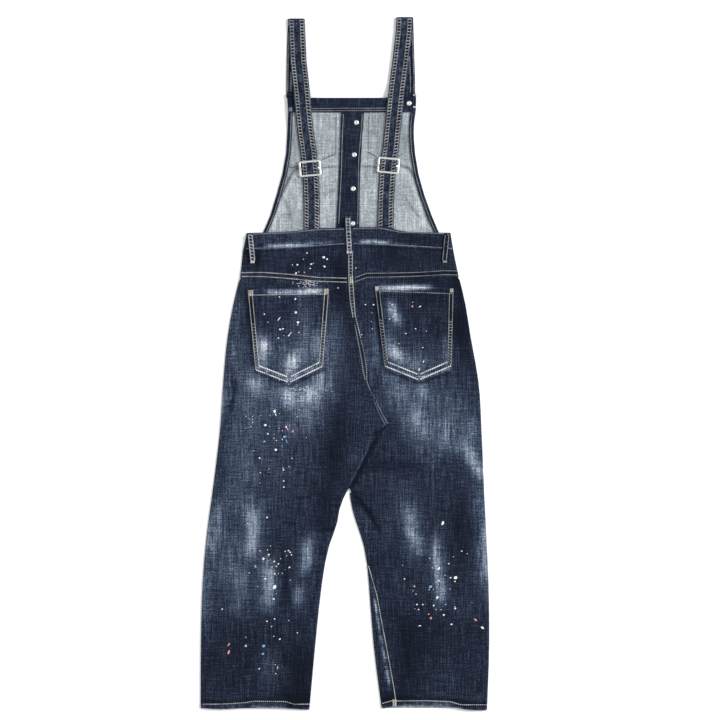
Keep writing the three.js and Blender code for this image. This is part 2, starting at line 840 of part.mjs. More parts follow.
// A wire bail, wide where the strap holds it and narrow where it hooks on the bib's button
function hookWire() {
  const { wire, width, drop, neck } = HOOK;
  const half = (width - wire) / 2;
  const rightSide = [
    [half - 2, 0],
    [half, -2.5],
    [half - 1.5, -6],
    [neck, -drop * 0.55],
    [neck - 1, -drop + 4],
  ];
  const leftSide = rightSide.map(([x, y]) => [-x, y]).reverse();
  const loop = [[0, 0], ...rightSide, [0, -drop], ...leftSide].map(([x, y]) => new THREE.Vector3(x, y, wire / 2));
  return new THREE.TubeGeometry(new THREE.CatmullRomCurve3(loop, true, "centripetal"), 44, wire / 2, 8, true);
}

for (const [side, strap] of Object.entries(STRAPS)) {
  sew("strap_" + side, ribbon(strapRoute(strap), STRAP.width, STRAP.thick), rawDenim);
  const slider = sew("strap_slider_" + side, sliderFrame(), nickel);
  slider.position.set(strap.slider.x, strap.slider.y, SLIDER_LEVEL);
  slider.rotation.z = strap.lean;
  const hook = sew("strap_hook_" + side, hookWire(), nickel);
  hook.position.set(strap.front[strap.front.length - 1].x, HOOK.y - HOOK.wire / 2 - GAP, 0);
}

// Belt loops lie over the waistband's seams. The middle one stands clear of the top edge.
function loopRest(x, y) {
  if (y > waistTop(x)) return waistbandTop(x, waistTop(x)) - (y - waistTop(x)) * 0.1;
  if (y > waistSeam(x)) return waistbandTop(x, y);
  return backTop(x < centreSeam(y) ? "left" : "right")(x, y);
}

function beltLoop({ x, y, toX, toY }) {
  const lean = Math.atan2(toX - x, y - toY);
  const half = LOOP.width / 2;
  const across = [Math.cos(lean) * half, Math.sin(lean) * half];
  const heights = spaced(12).map((share) => ({ x: lerp(x, toX, share), y: lerp(y, toY, share) }));
  const rest = heights.map((at) => {
    const edges = [-1, 0, 1].map((side) => loopRest(at.x + side * across[0], at.y + side * across[1]));
    return Math.max(...edges);
  });
  // It bridges the waistband's step instead of following it
  const eased = rest.map((_, i) => Math.max(...rest.slice(Math.max(0, i - 1), i + 2)));
  const outer = [];
  const inner = [];
  heights.forEach((at, i) => {
    const low = eased[i] + GAP;
    const corners = [-1, 1].map((side) => [at.x + side * across[0], at.y + side * across[1]]);
    inner.push(corners.map(([cx, cy]) => new THREE.Vector3(cx, cy, low)));
    outer.push(corners.map(([cx, cy]) => new THREE.Vector3(cx, cy, low + LOOP.thick)));
  });
  return wall(outer, inner);
}

for (const [place, line] of Object.entries(BELT_LOOPS)) {
  sew("belt_loop_" + place, beltLoop(line), rawDenim);
}

// The origin is under the middle of the garment's box
const box = new THREE.Box3().setFromObject(dungarees);
const middle = box.getCenter(new THREE.Vector3());
dungarees.position.set(-middle.x, -middle.y, -box.min.z);
const part = new THREE.Group();
part.add(dungarees);

export default part;
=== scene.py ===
"""Worn denim dungarees laid flat with the back up: the cloth, sewing, fittings and paint on their frame.

Lengths are in metres in the frame: X across the garment, Y from the hems to the shoulder folds, Z up.
"""
import math
import random

import bmesh
import bpy
import numpy as np
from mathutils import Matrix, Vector, noise
from mathutils.bvhtree import BVHTree


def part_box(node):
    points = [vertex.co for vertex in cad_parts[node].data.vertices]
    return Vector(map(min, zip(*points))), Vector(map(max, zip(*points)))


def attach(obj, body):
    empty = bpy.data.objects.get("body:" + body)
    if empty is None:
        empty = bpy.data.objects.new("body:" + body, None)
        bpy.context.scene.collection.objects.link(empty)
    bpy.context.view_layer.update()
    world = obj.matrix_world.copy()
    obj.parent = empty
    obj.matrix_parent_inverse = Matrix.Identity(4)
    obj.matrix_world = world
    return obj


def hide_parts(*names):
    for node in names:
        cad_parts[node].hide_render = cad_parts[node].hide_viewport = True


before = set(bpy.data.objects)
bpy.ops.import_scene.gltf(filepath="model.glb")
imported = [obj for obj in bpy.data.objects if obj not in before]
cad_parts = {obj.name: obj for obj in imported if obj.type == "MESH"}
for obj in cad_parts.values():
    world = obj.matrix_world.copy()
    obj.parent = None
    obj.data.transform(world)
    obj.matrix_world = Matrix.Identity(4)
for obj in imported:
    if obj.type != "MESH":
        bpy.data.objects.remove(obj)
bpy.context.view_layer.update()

bl_info = {
    "name": "Dungarees laid flat",
    "version": (1, 0, 0),
    "blender": (4, 5, 0),
    "location": "View3D > Sidebar > Dungarees",
    "description": "Makes the cloth, sewing, fittings and paint spatter of denim dungarees laid flat",
    "category": "Object",
}

MM = 0.001

# The photograph's frame: its width in pixels, the size of a pixel on the floor, and the pixel over the origin
PHOTO_PIXELS = 720
PHOTO_PIXEL = 1.95 * MM
PHOTO_ORIGIN = (344.92, 363.66)
PHOTO_MIDDLE = (360, 360)

# Tone of denim that was only washed, on the scale from unworn indigo at 0 to bare pale threads at 1
UNWORN = 0.21

# Soft troughs (height below 0) and ridges in the cloth, as lines of photo pixels
CREASES = [
    {"line": [(353, 501), (366, 513), (380, 531)], "width": 5, "height": -1.1},
    {"line": [(357, 496), (371, 508), (387, 525)], "width": 6, "height": 0.8},
    {"line": [(281, 522), (304, 525), (331, 531)], "width": 5, "height": -1.0},
    {"line": [(284, 530), (309, 533), (331, 538)], "width": 6, "height": 0.8},
    {"line": [(297, 514), (318, 518), (337, 524)], "width": 5, "height": 0.6},
    {"line": [(388, 425), (396, 441), (403, 464)], "width": 8, "height": -0.9},
    {"line": [(371, 429), (360, 447), (350, 466), (343, 484)], "width": 7, "height": -0.7},
    {"line": [(262, 396), (285, 405), (311, 404)], "width": 9, "height": 0.5},
    {"line": [(351, 330), (345, 360), (350, 396)], "width": 14, "height": -0.5},
    {"line": [(470, 400), (456, 430), (450, 472)], "width": 14, "height": 0.6},
    {"line": [(227, 339), (238, 343)], "width": 5, "height": -0.9},
    {"line": [(301, 598), (297, 662)], "width": 12, "height": 0.5},
    {"line": [(240, 560), (236, 640)], "width": 14, "height": -0.5},
    {"line": [(430, 556), (437, 642)], "width": 14, "height": 0.5},
    {"line": [(335, 154), (321, 160), (291, 167)], "width": 2.5, "height": 0.5},
    {"line": [(368, 152), (378, 157)], "width": 2.5, "height": 0.5},
    {"line": [(398, 156), (406, 153)], "width": 2.5, "height": 0.5},
    {"line": [(300, 198), (293, 212), (286, 226)], "width": 4, "height": 0.7},
    {"line": [(396, 180), (406, 204), (423, 228)], "width": 4, "height": 0.7},
]

# Washed and rubbed places, and with a strength below 0 those that stayed dark. Some strokes are painted light
# instead:
# painted shade along the crotch fold, in the creases, in the yoke seam and round the pockets, and a painted
# highlight on the fold's edge.
# The reach in photo pixels, the strength and a line of photo pixels
WEAR_AND_SHADE_STROKES = [
    (26, 0.17, [(246, 385), (248, 470), (236, 500)]),
    (26, 0.16, [(226, 525), (228, 590)]),
    (25, 0.07, [(280, 440), (275, 490)]),
    (17, 0.22, [(285, 400), (325, 400)]),
    (5, 0.24, [(286, 388), (288, 402)]),
    (7.5, 0.2, [(303, 400), (316, 388)]),
    (9, 0.13, [(287, 422), (290, 433)]),
    (8, 0.2, [(254, 378), (255, 388)]),
    (8.5, 0.34, [(252, 508), (254, 535), (251, 553)]),
    (7, 0.11, [(217, 505), (213, 535), (208, 562)]),
    (1.3, 0.14, [(219.5, 504), (218.5, 522), (217.5, 540)]),
    (6.5, 0.34, [(309, 538), (308, 553), (304, 570)]),
    (6.5, 0.26, [(300, 588), (297, 603)]),
    (8.5, 0.36, [(268, 562), (269, 585), (267, 606)]),
    (10, 0.12, [(240, 576), (241, 592), (238, 612)]),
    (12, 0.16, [(268, 660), (271, 678)]),
    (11, -0.12, [(340, 400), (333, 470), (325, 520)]),
    (12, -0.12, [(303, 650), (303, 695)]),
    (40, -0.06, [(215, 665), (305, 665)]),
    (5, -0.08, [(283, 552), (287, 600)]),
    (14, 0.19, [(394, 384), (402, 400)]),
    (15, 0.15, [(418, 385), (420, 420), (428, 450)]),
    (7, 0.17, [(420, 386), (424, 395)]),
    (7, 0.15, [(415, 411), (421, 431)]),
    (17, 0.1, [(440, 392), (462, 415)]),
    (15, 0.13, [(440, 412), (455, 447)]),
    (7, 0.14, [(444, 428), (448, 446)]),
    (14, 0.14, [(462, 430), (478, 440)]),
    (7, 0.25, [(466, 445), (472, 456), (480, 475)]),
    (5, 0.14, [(482, 475), (484, 530), (487, 605)]),
    (6, 0.1, [(479, 535), (481, 582)]),
    (5, 0.17, [(486, 526), (487, 548), (488, 574)]),
    (8, 0.07, [(473, 415), (472, 430)]),
    (8, 0.07, [(473, 488), (474, 520)]),
    (5, 0.1, [(207, 600), (205, 634)]),
    (7, 0.07, [(361, 515), (363, 535)]),
    (13, 0.1, [(406, 490), (418, 558)]),
    (7.5, 0.26, [(409, 512), (412, 532), (417, 547)]),
    (6.5, 0.32, [(437, 542), (438, 567), (441, 596)]),
    (1.2, 0.16, [(434.6, 528), (435.2, 560), (435.4, 586)]),
    (1.0, 0.1, [(432.4, 453), (432.6, 470), (433.4, 505)]),
    (7, 0.12, [(442, 585), (441, 606)]),
    (14, 0.06, [(446, 655), (446, 685)]),
    (11, -0.1, [(460, 500), (462, 560)]),
    (11, -0.1, [(405, 625), (410, 690)]),
    (6, -0.08, [(362, 470), (385, 465), (420, 468)]),
    (7, -0.12, [(456, 315), (468, 362)]),
    (12, 0.12, [(236, 300), (232, 370)]),
    (12, 0.13, [(333, 325), (329, 380)]),
    (10, 0.14, [(373, 330), (375, 368)]),
    (26, 0.12, [(268, 355), (310, 355)]),
    (6, 0.34, [(264, 340), (264.5, 352)]),
    (3, 0.18, [(257, 335), (258, 366)]),
    (8, 0.36, [(293.5, 355), (291, 368)]),
    (5, 0.24, [(318, 333), (318, 358)]),
    (2.8, 0.46, [(268, 292.6), (300, 292)]),
    (3.0, 0.6, [(302, 291.8), (321, 291.2)]),
    (3.2, 0.6, [(381, 288.4), (402, 288), (430, 286.8)]),
    (5.5, 0.42, [(391, 304), (394, 314), (398, 322)]),
    (6, 0.36, [(393, 347), (395, 352), (399, 359)]),
    (14, 0.17, [(390, 352), (430, 364)]),
    (5, 0.1, [(410, 362), (417, 368), (420, 375)]),
    (4.5, 0.24, [(446, 338), (448, 368)]),
    (20, 0.05, [(262, 238), (320, 238)]),
    (2, 0.44, [(265, 246.4), (290, 245.6), (312, 244.6)]),
    (1.4, 0.2, [(312, 243.6), (333, 242.6)]),
    (2, 0.46, [(360, 242), (374, 241.6), (389, 243)]),
    (1.8, 0.18, [(392, 243.6), (418, 246.5)]),
    (3, -0.14, [(257, 253), (257.5, 268)]),
    (6, -0.12, [(340, 256), (341, 274)]),
    (4, -0.05, [(343, 287), (348, 310), (351, 330), (352, 352)]),
    # Painted shadow beside the crotch fold, and a painted highlight on the fold's edge
    (2.4, -0.2, [(379, 434), (371, 448), (364, 463), (356, 479), (350, 489)]),
    (1.0, 0.16, [(371, 428), (371, 436), (367, 450), (355, 474), (347, 488)]),
    # Painted shade in the troughs of the creases at the knees
    (2.2, -0.16, [(353, 492), (364, 505), (380, 531)]),
    (1.6, -0.12, [(284, 523), (297, 524)]),
    (1.8, -0.14, [(320, 530), (336, 529)]),
    (1.1, 0.18, [(229, 379), (231.5, 391), (228.5, 404)]),
    (2.4, -0.14, [(233, 378), (234, 392), (231, 410)]),
    # Pale rubbed cloth between the rows at each pocket's point, with painted shadow lines just outside the
    # points and the sides
    (1.7, 0.26, [(257.5, 367), (288.8, 380), (320.5, 365)]),
    (1.3, -0.14, [(254.4, 372), (289.1, 386.4), (324.6, 369.4)]),
    (1.7, 0.24, [(387, 366.5), (418.5, 378), (448.5, 369)]),
    (1.3, -0.14, [(383.6, 370), (418.5, 383.4), (452, 372)]),
    (1.5, -0.16, [(374.6, 300), (381.6, 366)]),
    (1.5, -0.14, [(246.6, 300), (253, 366)]),
    (8, -0.26, [(286, 702), (310, 701)]),
    (4, -0.2, [(458, 706), (488, 706)]),
    (3, -0.12, [(202, 708), (250, 708)]),
    (8, -0.22, [(382, 702), (404, 702)]),
    (2, 0.2, [(254, 708.6), (283, 708.6)]),
    (1.8, 0.16, [(373, 588), (375.8, 606), (379, 630), (383.4, 655), (389.6, 690)]),
    (1.5, 0.3, [(374.6, 600), (376.4, 612)]),
    (1.4, 0.3, [(377.4, 617), (379.6, 630)]),
    (1.4, 0.24, [(380.6, 636), (382, 642)]),
    (1.4, 0.3, [(383, 648), (385.4, 660)]),
    (1.5, 0.32, [(387, 668), (389.4, 684)]),
    # Painted shade in the corner of the crotch fold
    (1.3, -0.2, [(371, 434), (379, 432), (387, 426)]),
    (1.7, -0.2, [(377.6, 298), (384.6, 362)]),
    (1.7, -0.2, [(450, 298), (449.4, 362)]),
    (1.7, -0.18, [(251.6, 300), (257.4, 362)]),
    (1.7, -0.18, [(325, 298), (321, 360)]),
    (9, 0.15, [(303, 300), (305, 328), (307, 360)]),
    (5, 0.19, [(262, 342), (264, 368)]),
    (6, 0.1, [(291, 358), (288, 374)]),
    (8, 0.2, [(315, 375), (323, 384)]),
    (12, 0.13, [(256, 382), (281, 396)]),
    (14, 0.15, [(304, 408), (313, 430)]),
    (14, -0.07, [(263, 440), (262, 476), (250, 490)]),
    (4, 0.2, [(223, 383), (222, 405), (219, 425)]),
    (6, 0.14, [(206, 572), (204, 612)]),
    (7, 0.17, [(469, 454), (479, 473)]),
    (9, 0.1, [(386, 372), (393, 385)]),
    (12, 0.07, [(398, 408), (413, 442)]),
    (9, -0.17, [(457, 275), (463, 335)]),
    (8, -0.12, [(412, 281), (446, 282)]),
    (7, -0.08, [(410, 297), (444, 298)]),
    (7, -0.07, [(405, 239), (450, 240)]),
    (10, 0.06, [(430, 448), (448, 450)]),
    (9, -0.12, [(338, 272), (340, 304)]),
    # Painted shade in the yoke seam between its rows
    (1.5, -0.16, [(356, 279), (367, 275.4), (388, 275.2), (420, 274.2), (458, 273)]),
    (6, 0.13, [(388, 328), (391, 344)]),
    (6, 0.08, [(331, 385), (334, 400)]),
    (3, 0.15, [(209, 520), (207, 546)]),
    (30, -0.03, [(405, 600), (470, 690)]),
    (12, -0.05, [(250, 262), (340, 262)]),
    (13, -0.06, [(368, 258), (440, 260)]),
    (16, -0.06, [(408, 310), (438, 325)]),
    (28, -0.05, [(400, 645), (470, 655)]),
]

# Tones of the bib's inside, in the same way: painted shade in the top corners beside the straps, and painted
# shadow lines along the edges, seams and creases of cloth that presses through, with a paler strip beside the
# edge lines
BIB_TONES_AND_SHADE = [
    (9, -0.12, [(294, 116), (294, 158)]),
    (10, -0.13, [(408, 114), (408, 150)]),
    (9, -0.12, [(378, 114), (380, 150)]),
    (6, 0.05, [(327, 175), (327, 222)]),
    (1.5, -0.42, [(300, 167.3), (293, 171), (287, 183), (279, 199.4), (269.4, 226)]),
    (2.6, 0.14, [(302, 171), (296, 174), (290, 185), (282, 201), (273, 226)]),
    (1.5, -0.42, [(399.5, 165), (409, 168), (414, 176), (422.5, 202), (429, 224)]),
    (2.6, 0.14, [(398, 169), (406, 172), (411, 179), (419, 203), (425, 224)]),
    (1.3, -0.32, [(280, 166.6), (298, 167.3)]),
    (1.3, -0.26, [(320, 167.6), (337, 166.4)]),
    (1.3, -0.26, [(362, 166), (377, 167)]),
    (1.5, -0.22, [(279, 190), (287, 204), (291, 218)]),
    (1.5, -0.22, [(405, 196), (413, 210), (421, 219)]),
    (1.5, -0.16, [(322, 196), (334, 190)]),
    (1.5, -0.16, [(362, 128), (376, 134)]),
    (1.6, -0.16, [(283, 176), (300, 182)]),
]

# The sewn middle of the seat: the line of its seam, raised by the cloth turned in under it
CENTRE_SEAM = [(351, 250), (351.3, 280), (352.3, 300), (356, 325), (362, 355), (364.8, 370), (366.4, 381),
               (371, 392), (376, 401), (381, 412), (387, 424)]

# Rows of stitching that are not worked out from a piece's own edges:
# the layer that they lie on, the thread and a line of photo pixels
STITCH_ROWS = [
    ("trousers", "dull", [(241, 272.7), (264, 272.5), (291, 274.5), (318, 277.5), (348, 278.3)]),
    ("trousers", "dull", [(241, 276.4), (264, 276.6), (291, 278.8), (315, 281.2), (348, 282.3)]),
    ("trousers", "grey", [
        (354.5, 278), (366, 273.4), (388, 273.2), (420, 272.4), (444, 270.7), (458, 271),
    ]),
    ("trousers", "grey", [
        (354.5, 282), (367, 277.3), (388, 277.1), (420, 276.1), (444, 274.7), (459, 275),
    ]),
    ("trousers", "dull", [(352.3, 251), (352.3, 275), (354, 300), (355, 315), (358.5, 329), (361, 340)]),
    ("trousers", "dull", [(348.6, 254), (348.8, 280), (350, 300), (353, 318)]),
    ("trousers", "grey", [(361, 340), (363.5, 350), (366.4, 368), (366.6, 381), (371, 392)]),
    ("trousers", "grey", [(376, 400.5), (380.5, 411), (388, 424)]),
    ("trousers", "grey", [(354.8, 325), (361, 357), (363, 372), (365.5, 380.5)]),
    ("trousers", "slate", [(371, 392), (376, 400.5)]),
    ("trousers", "slate", [(374.2, 401.5), (378.4, 412.6), (385.4, 425)]),
    ("trousers", "dull", [
        (368.4, 565.8), (376.8, 595.2), (382, 623.6), (386.3, 646.7), (390.5, 668.8), (394.2, 690),
        (396, 704),
    ]),
    ("trousers", "dull", [
        (202.6, 704.2), (227, 703.6), (245.5, 702.4), (254, 701), (285.5, 701.4), (294, 704),
        (310.6, 704.2),
    ]),
    ("trousers", "dull", [
        (382, 703.6), (391, 700.8), (425, 700.4), (450.4, 701.4), (460, 704.4), (487.6, 705),
    ]),
    ("trousers", "grey", [(246, 248.6), (290, 247.4), (318, 245.6), (345, 243.6)]),
    ("trousers", "grey", [(354, 243.4), (400, 245.4), (452, 248.4)]),
    ("trousers", "grey", [(248, 234.4), (290, 232.9), (316, 230), (345, 229.4)]),
    ("trousers", "grey", [(353, 229), (380, 228.2), (400, 232.4), (450, 234)]),
    ("facings", "grey", [(311, 108.7), (340, 108.2), (372, 108.2), (388, 108)]),
    ("facings", "grey", [(311, 110.9), (340, 110.6), (372, 110.4), (388, 110.4)]),
    ("facings", "grey", [(343.4, 114), (342.3, 134), (341.1, 175), (338.6, 225)]),
    ("facings", "grey", [(362.2, 114), (360.8, 134), (358.6, 160), (357.6, 225)]),
    ("bib", "grey", [(336.5, 116), (336, 155)]),
    ("bib", "grey", [(369, 115), (368.6, 152)]),
    # Rows in shadow thread are painted shadow lines at the edges of flaps that press through the bib, laid as
    # dark stitches
    ("bib", "shadow", [(335, 154), (321, 160)]),
    ("bib", "shadow", [(301, 165), (291, 168)]),
    ("bib", "shadow", [(368, 152), (378, 157)]),
    ("bib", "shadow", [(398, 156), (405, 153)]),
]

# The two rows of the seat seam that rungs join, where its edge has worn pale between the stitches
SEAM_LADDER = (
    [(348.6, 254), (348.8, 280), (350, 300), (353, 318)],
    [(352.2, 254), (352.3, 280), (354, 300), (355.8, 318)],
)

# Bar tacks, as the photo pixels of their low and high corners, and the layer they are sewn on
TACKS = [
    {"on": "pockets", "box": (248.6, 290.4, 253.4, 296)},
    {"on": "pockets", "box": (323.8, 289, 328.2, 294.6)},
    {"on": "pockets", "box": (375, 286.4, 378.6, 290.4)},
    {"on": "pockets", "box": (449.6, 288.8, 453, 292.4)},
    {"on": "trousers", "box": (349.6, 277, 353, 283.4)},
    {"on": "trousers", "box": (392.4, 699.6, 396.4, 706)},
    {"on": "loops", "box": (250.4, 261.4, 254.6, 263.2)},
    {"on": "loops", "box": (442.6, 260.8, 446.8, 262.6)},
    {"on": "loops", "box": (346.2, 251.6, 352, 253.4)},
    {"on": "facings", "thread": "grey", "box": (288.6, 107.6, 292.2, 111.4)},
    {"on": "facings", "box": (413, 106.6, 416.4, 108)},
    {"on": "facings", "box": (413, 94.6, 416.4, 96)},
]

# Paint that dripped: the colour, the photo pixel of the middle, the length and width in pixels,
# and the lean in degrees
PAINT_DROPS = [
    ("white", (323.6, 257.4), 3.0, 2.6, 0), ("white", (326.9, 259.2), 2.0, 1.6, 0),
    ("white", (307, 253), 1.6, 1.4, 0), ("white", (311, 264.2), 2.2, 1.7, 40),
    ("white", (310.2, 268.5), 1.6, 1.3, 0), ("white", (324.5, 266.6), 2.2, 1.8, 0),
    ("white", (297.4, 264.8), 2.4, 1.6, 30), ("white", (296, 273.3), 2.6, 1.7, 60),
    ("red", (298.7, 272), 1.8, 1.3, 0), ("red", (304.4, 272.5), 1.6, 1.2, 0),
    ("white", (338, 288), 1.4, 1.2, 0), ("white", (373.5, 304.7), 1.8, 1.4, 0),
    ("white", (389.5, 319), 1.4, 1.2, 0), ("red", (412.3, 306.4), 2.4, 1.7, 80),
    ("white", (419.8, 306.6), 3.2, 1.1, 30), ("white", (415.4, 328.7), 1.6, 1.3, 0),
    ("white", (405.7, 333.5), 1.5, 1.2, 0), ("white", (422.7, 347.6), 1.4, 1.1, 0),
    ("white", (419, 369.5), 3.0, 1.4, 75), ("white", (423.4, 361.7), 2.4, 1.3, 60),
    ("white", (365.4, 304.7), 1.6, 1.2, 0), ("white", (266.4, 344.5), 2.0, 1.4, 0),
    ("white", (295.8, 312.5), 2.7, 2.3, 20), ("white", (298, 322.4), 2.7, 2.4, 0),
    ("white", (279, 319), 5.2, 1.0, 50), ("white", (280, 329.6), 2.2, 1.8, 0),
    ("white", (282.6, 329), 1.8, 1.4, 0), ("white", (290.4, 333.6), 4.6, 0.8, 52),
    ("white", (288.8, 335.6), 2.2, 1.6, 50), ("white", (278.4, 338), 1.8, 1.4, 0),
    ("white", (295.4, 299), 2.4, 1.6, 45), ("white", (279.4, 297), 1.5, 1.2, 0),
    ("white", (264.4, 314.2), 1.5, 1.3, 0), ("white", (274.5, 411.4), 3.6, 2.6, 80),
    ("white", (275.6, 414.6), 3.0, 1.2, 120), ("white", (265.2, 425), 2.9, 2.5, 0),
    ("white", (275.8, 449.8), 2.9, 2.6, 0), ("white", (286.2, 427), 2.2, 1.7, 60),
    ("red", (287.4, 429), 2.8, 1.4, 120), ("red", (292.8, 431.3), 2.6, 1.7, 30),
    ("blue", (284.4, 436.8), 3.2, 2.4, 20), ("blue", (286.6, 441), 4.4, 0.8, 115),
    ("red", (291.8, 458.2), 2.4, 1.2, 150), ("white", (259.6, 458), 1.9, 1.7, 0),
    ("white", (267.8, 433.8), 1.8, 1.7, 0), ("white", (283.4, 470), 1.7, 1.5, 0),
    ("white", (283.6, 481), 1.6, 1.3, 0), ("white", (283.8, 487), 1.8, 1.5, 0),
    ("white", (267, 517.4), 1.9, 1.7, 0), ("white", (274.4, 587), 5.0, 3.2, 50),
    ("white", (265.2, 578.8), 2.2, 2.0, 0), ("white", (263.4, 558.6), 2.9, 2.4, 60),
    ("white", (268.8, 554.6), 2.4, 1.7, 40), ("white", (274.2, 561.4), 2.0, 1.6, 0),
    ("white", (278.4, 563.8), 2.2, 1.4, 60), ("white", (276.4, 566.4), 1.7, 1.2, 40),
    ("blue", (255.4, 566.4), 3.2, 2.0, 125), ("white", (274.6, 573.8), 1.9, 1.7, 0),
    ("white", (273.6, 599), 1.9, 1.7, 0), ("white", (288.4, 550.6), 1.9, 1.6, 0),
    ("white", (290.2, 552.2), 1.8, 1.4, 0), ("white", (291.4, 554.8), 1.8, 1.4, 0),
    ("white", (285, 551.2), 1.4, 1.2, 0), ("white", (289.4, 567.4), 2.0, 1.5, 60),
    ("white", (267, 621.2), 1.8, 1.5, 0), ("white", (274.6, 618.8), 1.7, 1.3, 0),
    ("white", (279.8, 639), 2.2, 1.7, 40), ("white", (297.4, 632.6), 1.6, 1.2, 0),
    ("red", (228.6, 644.6), 4.0, 1.7, 55), ("red", (228.6, 652), 4.6, 2.2, 70),
    ("white", (245.6, 645.6), 2.9, 1.1, 50), ("blue", (263.6, 645.8), 3.4, 2.9, 0),
    ("blue", (262.8, 653.6), 2.6, 2.2, 0), ("red", (277.6, 667.6), 3.0, 1.6, 80),
    ("white", (259.2, 668.6), 1.7, 1.4, 0), ("white", (222.2, 609), 1.6, 1.4, 0),
    ("white", (442.6, 523.2), 4.2, 2.6, 70), ("white", (438.6, 568.6), 4.0, 2.2, 55),
    ("white", (455.4, 577.6), 4.2, 3.2, 0), ("white", (450.4, 577.6), 1.9, 1.4, 0),
    ("white", (454.8, 581.4), 2.2, 1.2, 0), ("blue", (430.4, 586.6), 3.6, 2.6, 40),
    ("white", (438.6, 580.6), 2.0, 1.7, 0), ("white", (437, 597.4), 3.2, 2.2, 70),
    ("white", (433.6, 605.4), 2.0, 1.6, 0), ("white", (443.6, 614.8), 2.2, 1.9, 0),
    ("white", (455.2, 608.4), 2.0, 1.8, 0), ("white", (422.6, 604.4), 1.8, 1.6, 0),
    ("white", (416.8, 604.4), 1.6, 1.6, 0), ("white", (418.4, 609.4), 1.6, 1.3, 0),
    ("red", (430.8, 618), 2.6, 2.2, 60), ("white", (451.4, 624.2), 2.2, 1.7, 0),
    ("white", (420, 625.6), 2.4, 1.3, 0), ("red", (475.4, 619.8), 3.6, 1.8, 150),
    ("white", (482.4, 627.8), 3.8, 2.2, 150), ("white", (414.4, 586.2), 1.5, 1.2, 0),
    ("white", (448.6, 563.6), 1.6, 1.3, 0), ("red", (445, 575.2), 1.6, 1.2, 0),
    ("blue", (445.6, 604.4), 2.0, 1.4, 0), ("white", (404.4, 578.8), 1.7, 1.4, 0),
    ("white", (461.6, 551), 1.6, 1.3, 0),
]

# Fine spatter: how many, round which photo pixel, how far across and down it spreads, and the size of a drop
SPATTER = [
    {"count": 6, "middle": (312, 262), "spread": (16, 8), "size": 0.9},
    {"count": 7, "middle": (288, 325), "spread": (14, 16), "size": 0.95},
    {"count": 17, "middle": (274, 424), "spread": (13, 22), "size": 1.0},
    {"count": 7, "middle": (276, 480), "spread": (10, 16), "size": 0.9},
    {"count": 18, "middle": (272, 572), "spread": (12, 20), "size": 1.0},
    {"count": 7, "middle": (268, 640), "spread": (16, 16), "size": 0.9},
    {"count": 18, "middle": (436, 596), "spread": (20, 20), "size": 1.0},
    {"count": 8, "middle": (250, 420), "spread": (5, 4), "size": 0.9},
    {"count": 10, "middle": (390, 318), "spread": (16, 14), "size": 0.85},
]

# White paint rubbed thin: many short flakes round a photo pixel
SMEARS = [
    {"count": 62, "middle": (308, 284), "spread": (6.5, 2.1), "length": 2.1},
    {"count": 66, "middle": (306, 391), "spread": (8.5, 2.8), "length": 2.2},
    {"count": 16, "middle": (393, 311.5), "spread": (2.6, 4.2), "length": 2.6},
]

# A strap: its thickness, the distance between its points, the shares of its width where rows of stitching lie
# and where its points lie, and the loop of its end over the hook's bar, in millimetres along the strap and up
STRAP_THICKNESS = 2 * MM
STRAP_STEP = 1.25 * MM
STRAP_ROWS = (0.08, 0.28, 0.70, 0.92)
STRAP_SHARES = (0, 0.02, 0.06, 0.12, 0.17, 0.23, 0.29, 0.4, 0.5, 0.6, 0.7, 0.77, 0.82, 0.88, 0.94, 0.98, 1)
STRAP_END_LOOP = [
    (-1, 0.5), (-2, 1.4), (-3.2, 2.1), (-4.4, 2.1), (-5.4, 1.5), (-6.2, 0.6), (-7.2, 0.3), (-8.2, 0.2),
]

# Distance between the rungs of a worn pair of rows
LADDER_PITCH = 6 * MM

# The metal: how the sliders lean in radians, their bar and outside size, the hooks' wire, and a button's back
# as its radius and its profile in shares of the radius and height
SLIDER_LEANS = {"left": 0.087, "right": -0.098}
SLIDER_BAR = 3.9 * MM
SLIDER_SIZE = (43 * MM, 31 * MM)
HOOK_WIRE = 2.2 * MM
BUTTON_RADIUS = 4.85 * MM
BUTTON_PROFILE = [
    (0.0, 0.52), (0.12, 0.5), (0.22, 0.56), (0.3, 0.8), (0.4, 0.97), (0.55, 1.0),
    (0.72, 0.92), (0.88, 0.72), (0.97, 0.42), (1.0, 0.2), (0.98, 0.0), (0.0, 0.0),
]

# The pieces that each layer of sewing and paint lies on
LAYERS = {
    "trousers": [
        "leg_back_left_cloth", "leg_back_right_cloth", "leg_front_right_turn_cloth",
        "yoke_left_cloth", "yoke_right_cloth", "waistband_back_cloth",
    ],
    "pockets": ["pocket_left_cloth", "pocket_right_cloth"],
    "loops": ["belt_loop_left_cloth", "belt_loop_centre_cloth", "belt_loop_right_cloth"],
    "bib": ["bib_left_cloth", "bib_right_cloth"],
    "facings": ["bib_placket_cloth", "bib_band_cloth", "bib_binding_left_cloth", "bib_binding_right_cloth"],
    "straps": ["strap_left_cloth", "strap_right_cloth"],
}


def at_photo(px, py):
    """The point of the frame under a photo pixel."""
    return (px - PHOTO_ORIGIN[0]) * PHOTO_PIXEL, (PHOTO_ORIGIN[1] - py) * PHOTO_PIXEL


def photo_line(pixels):
    """Points of the frame under a line of photo pixels."""
    return np.array([at_photo(px, py) for px, py in pixels])


# Heights in the photo where the seat's seam ends and where the legs part
CROTCH_Y = at_photo(0, 424)[1]
LEGS_PART_Y = at_photo(0, 488)[1]


def linear(hex_colour):
    """An sRGB hex colour as linear red, green, blue and alpha."""
    channels = [int(hex_colour[i : i + 2], 16) / 255 for i in (1, 3, 5)]
    low = [c / 12.92 if c <= 0.04045 else ((c + 0.055) / 1.055) ** 2.4 for c in channels]
    return (*low, 1.0)


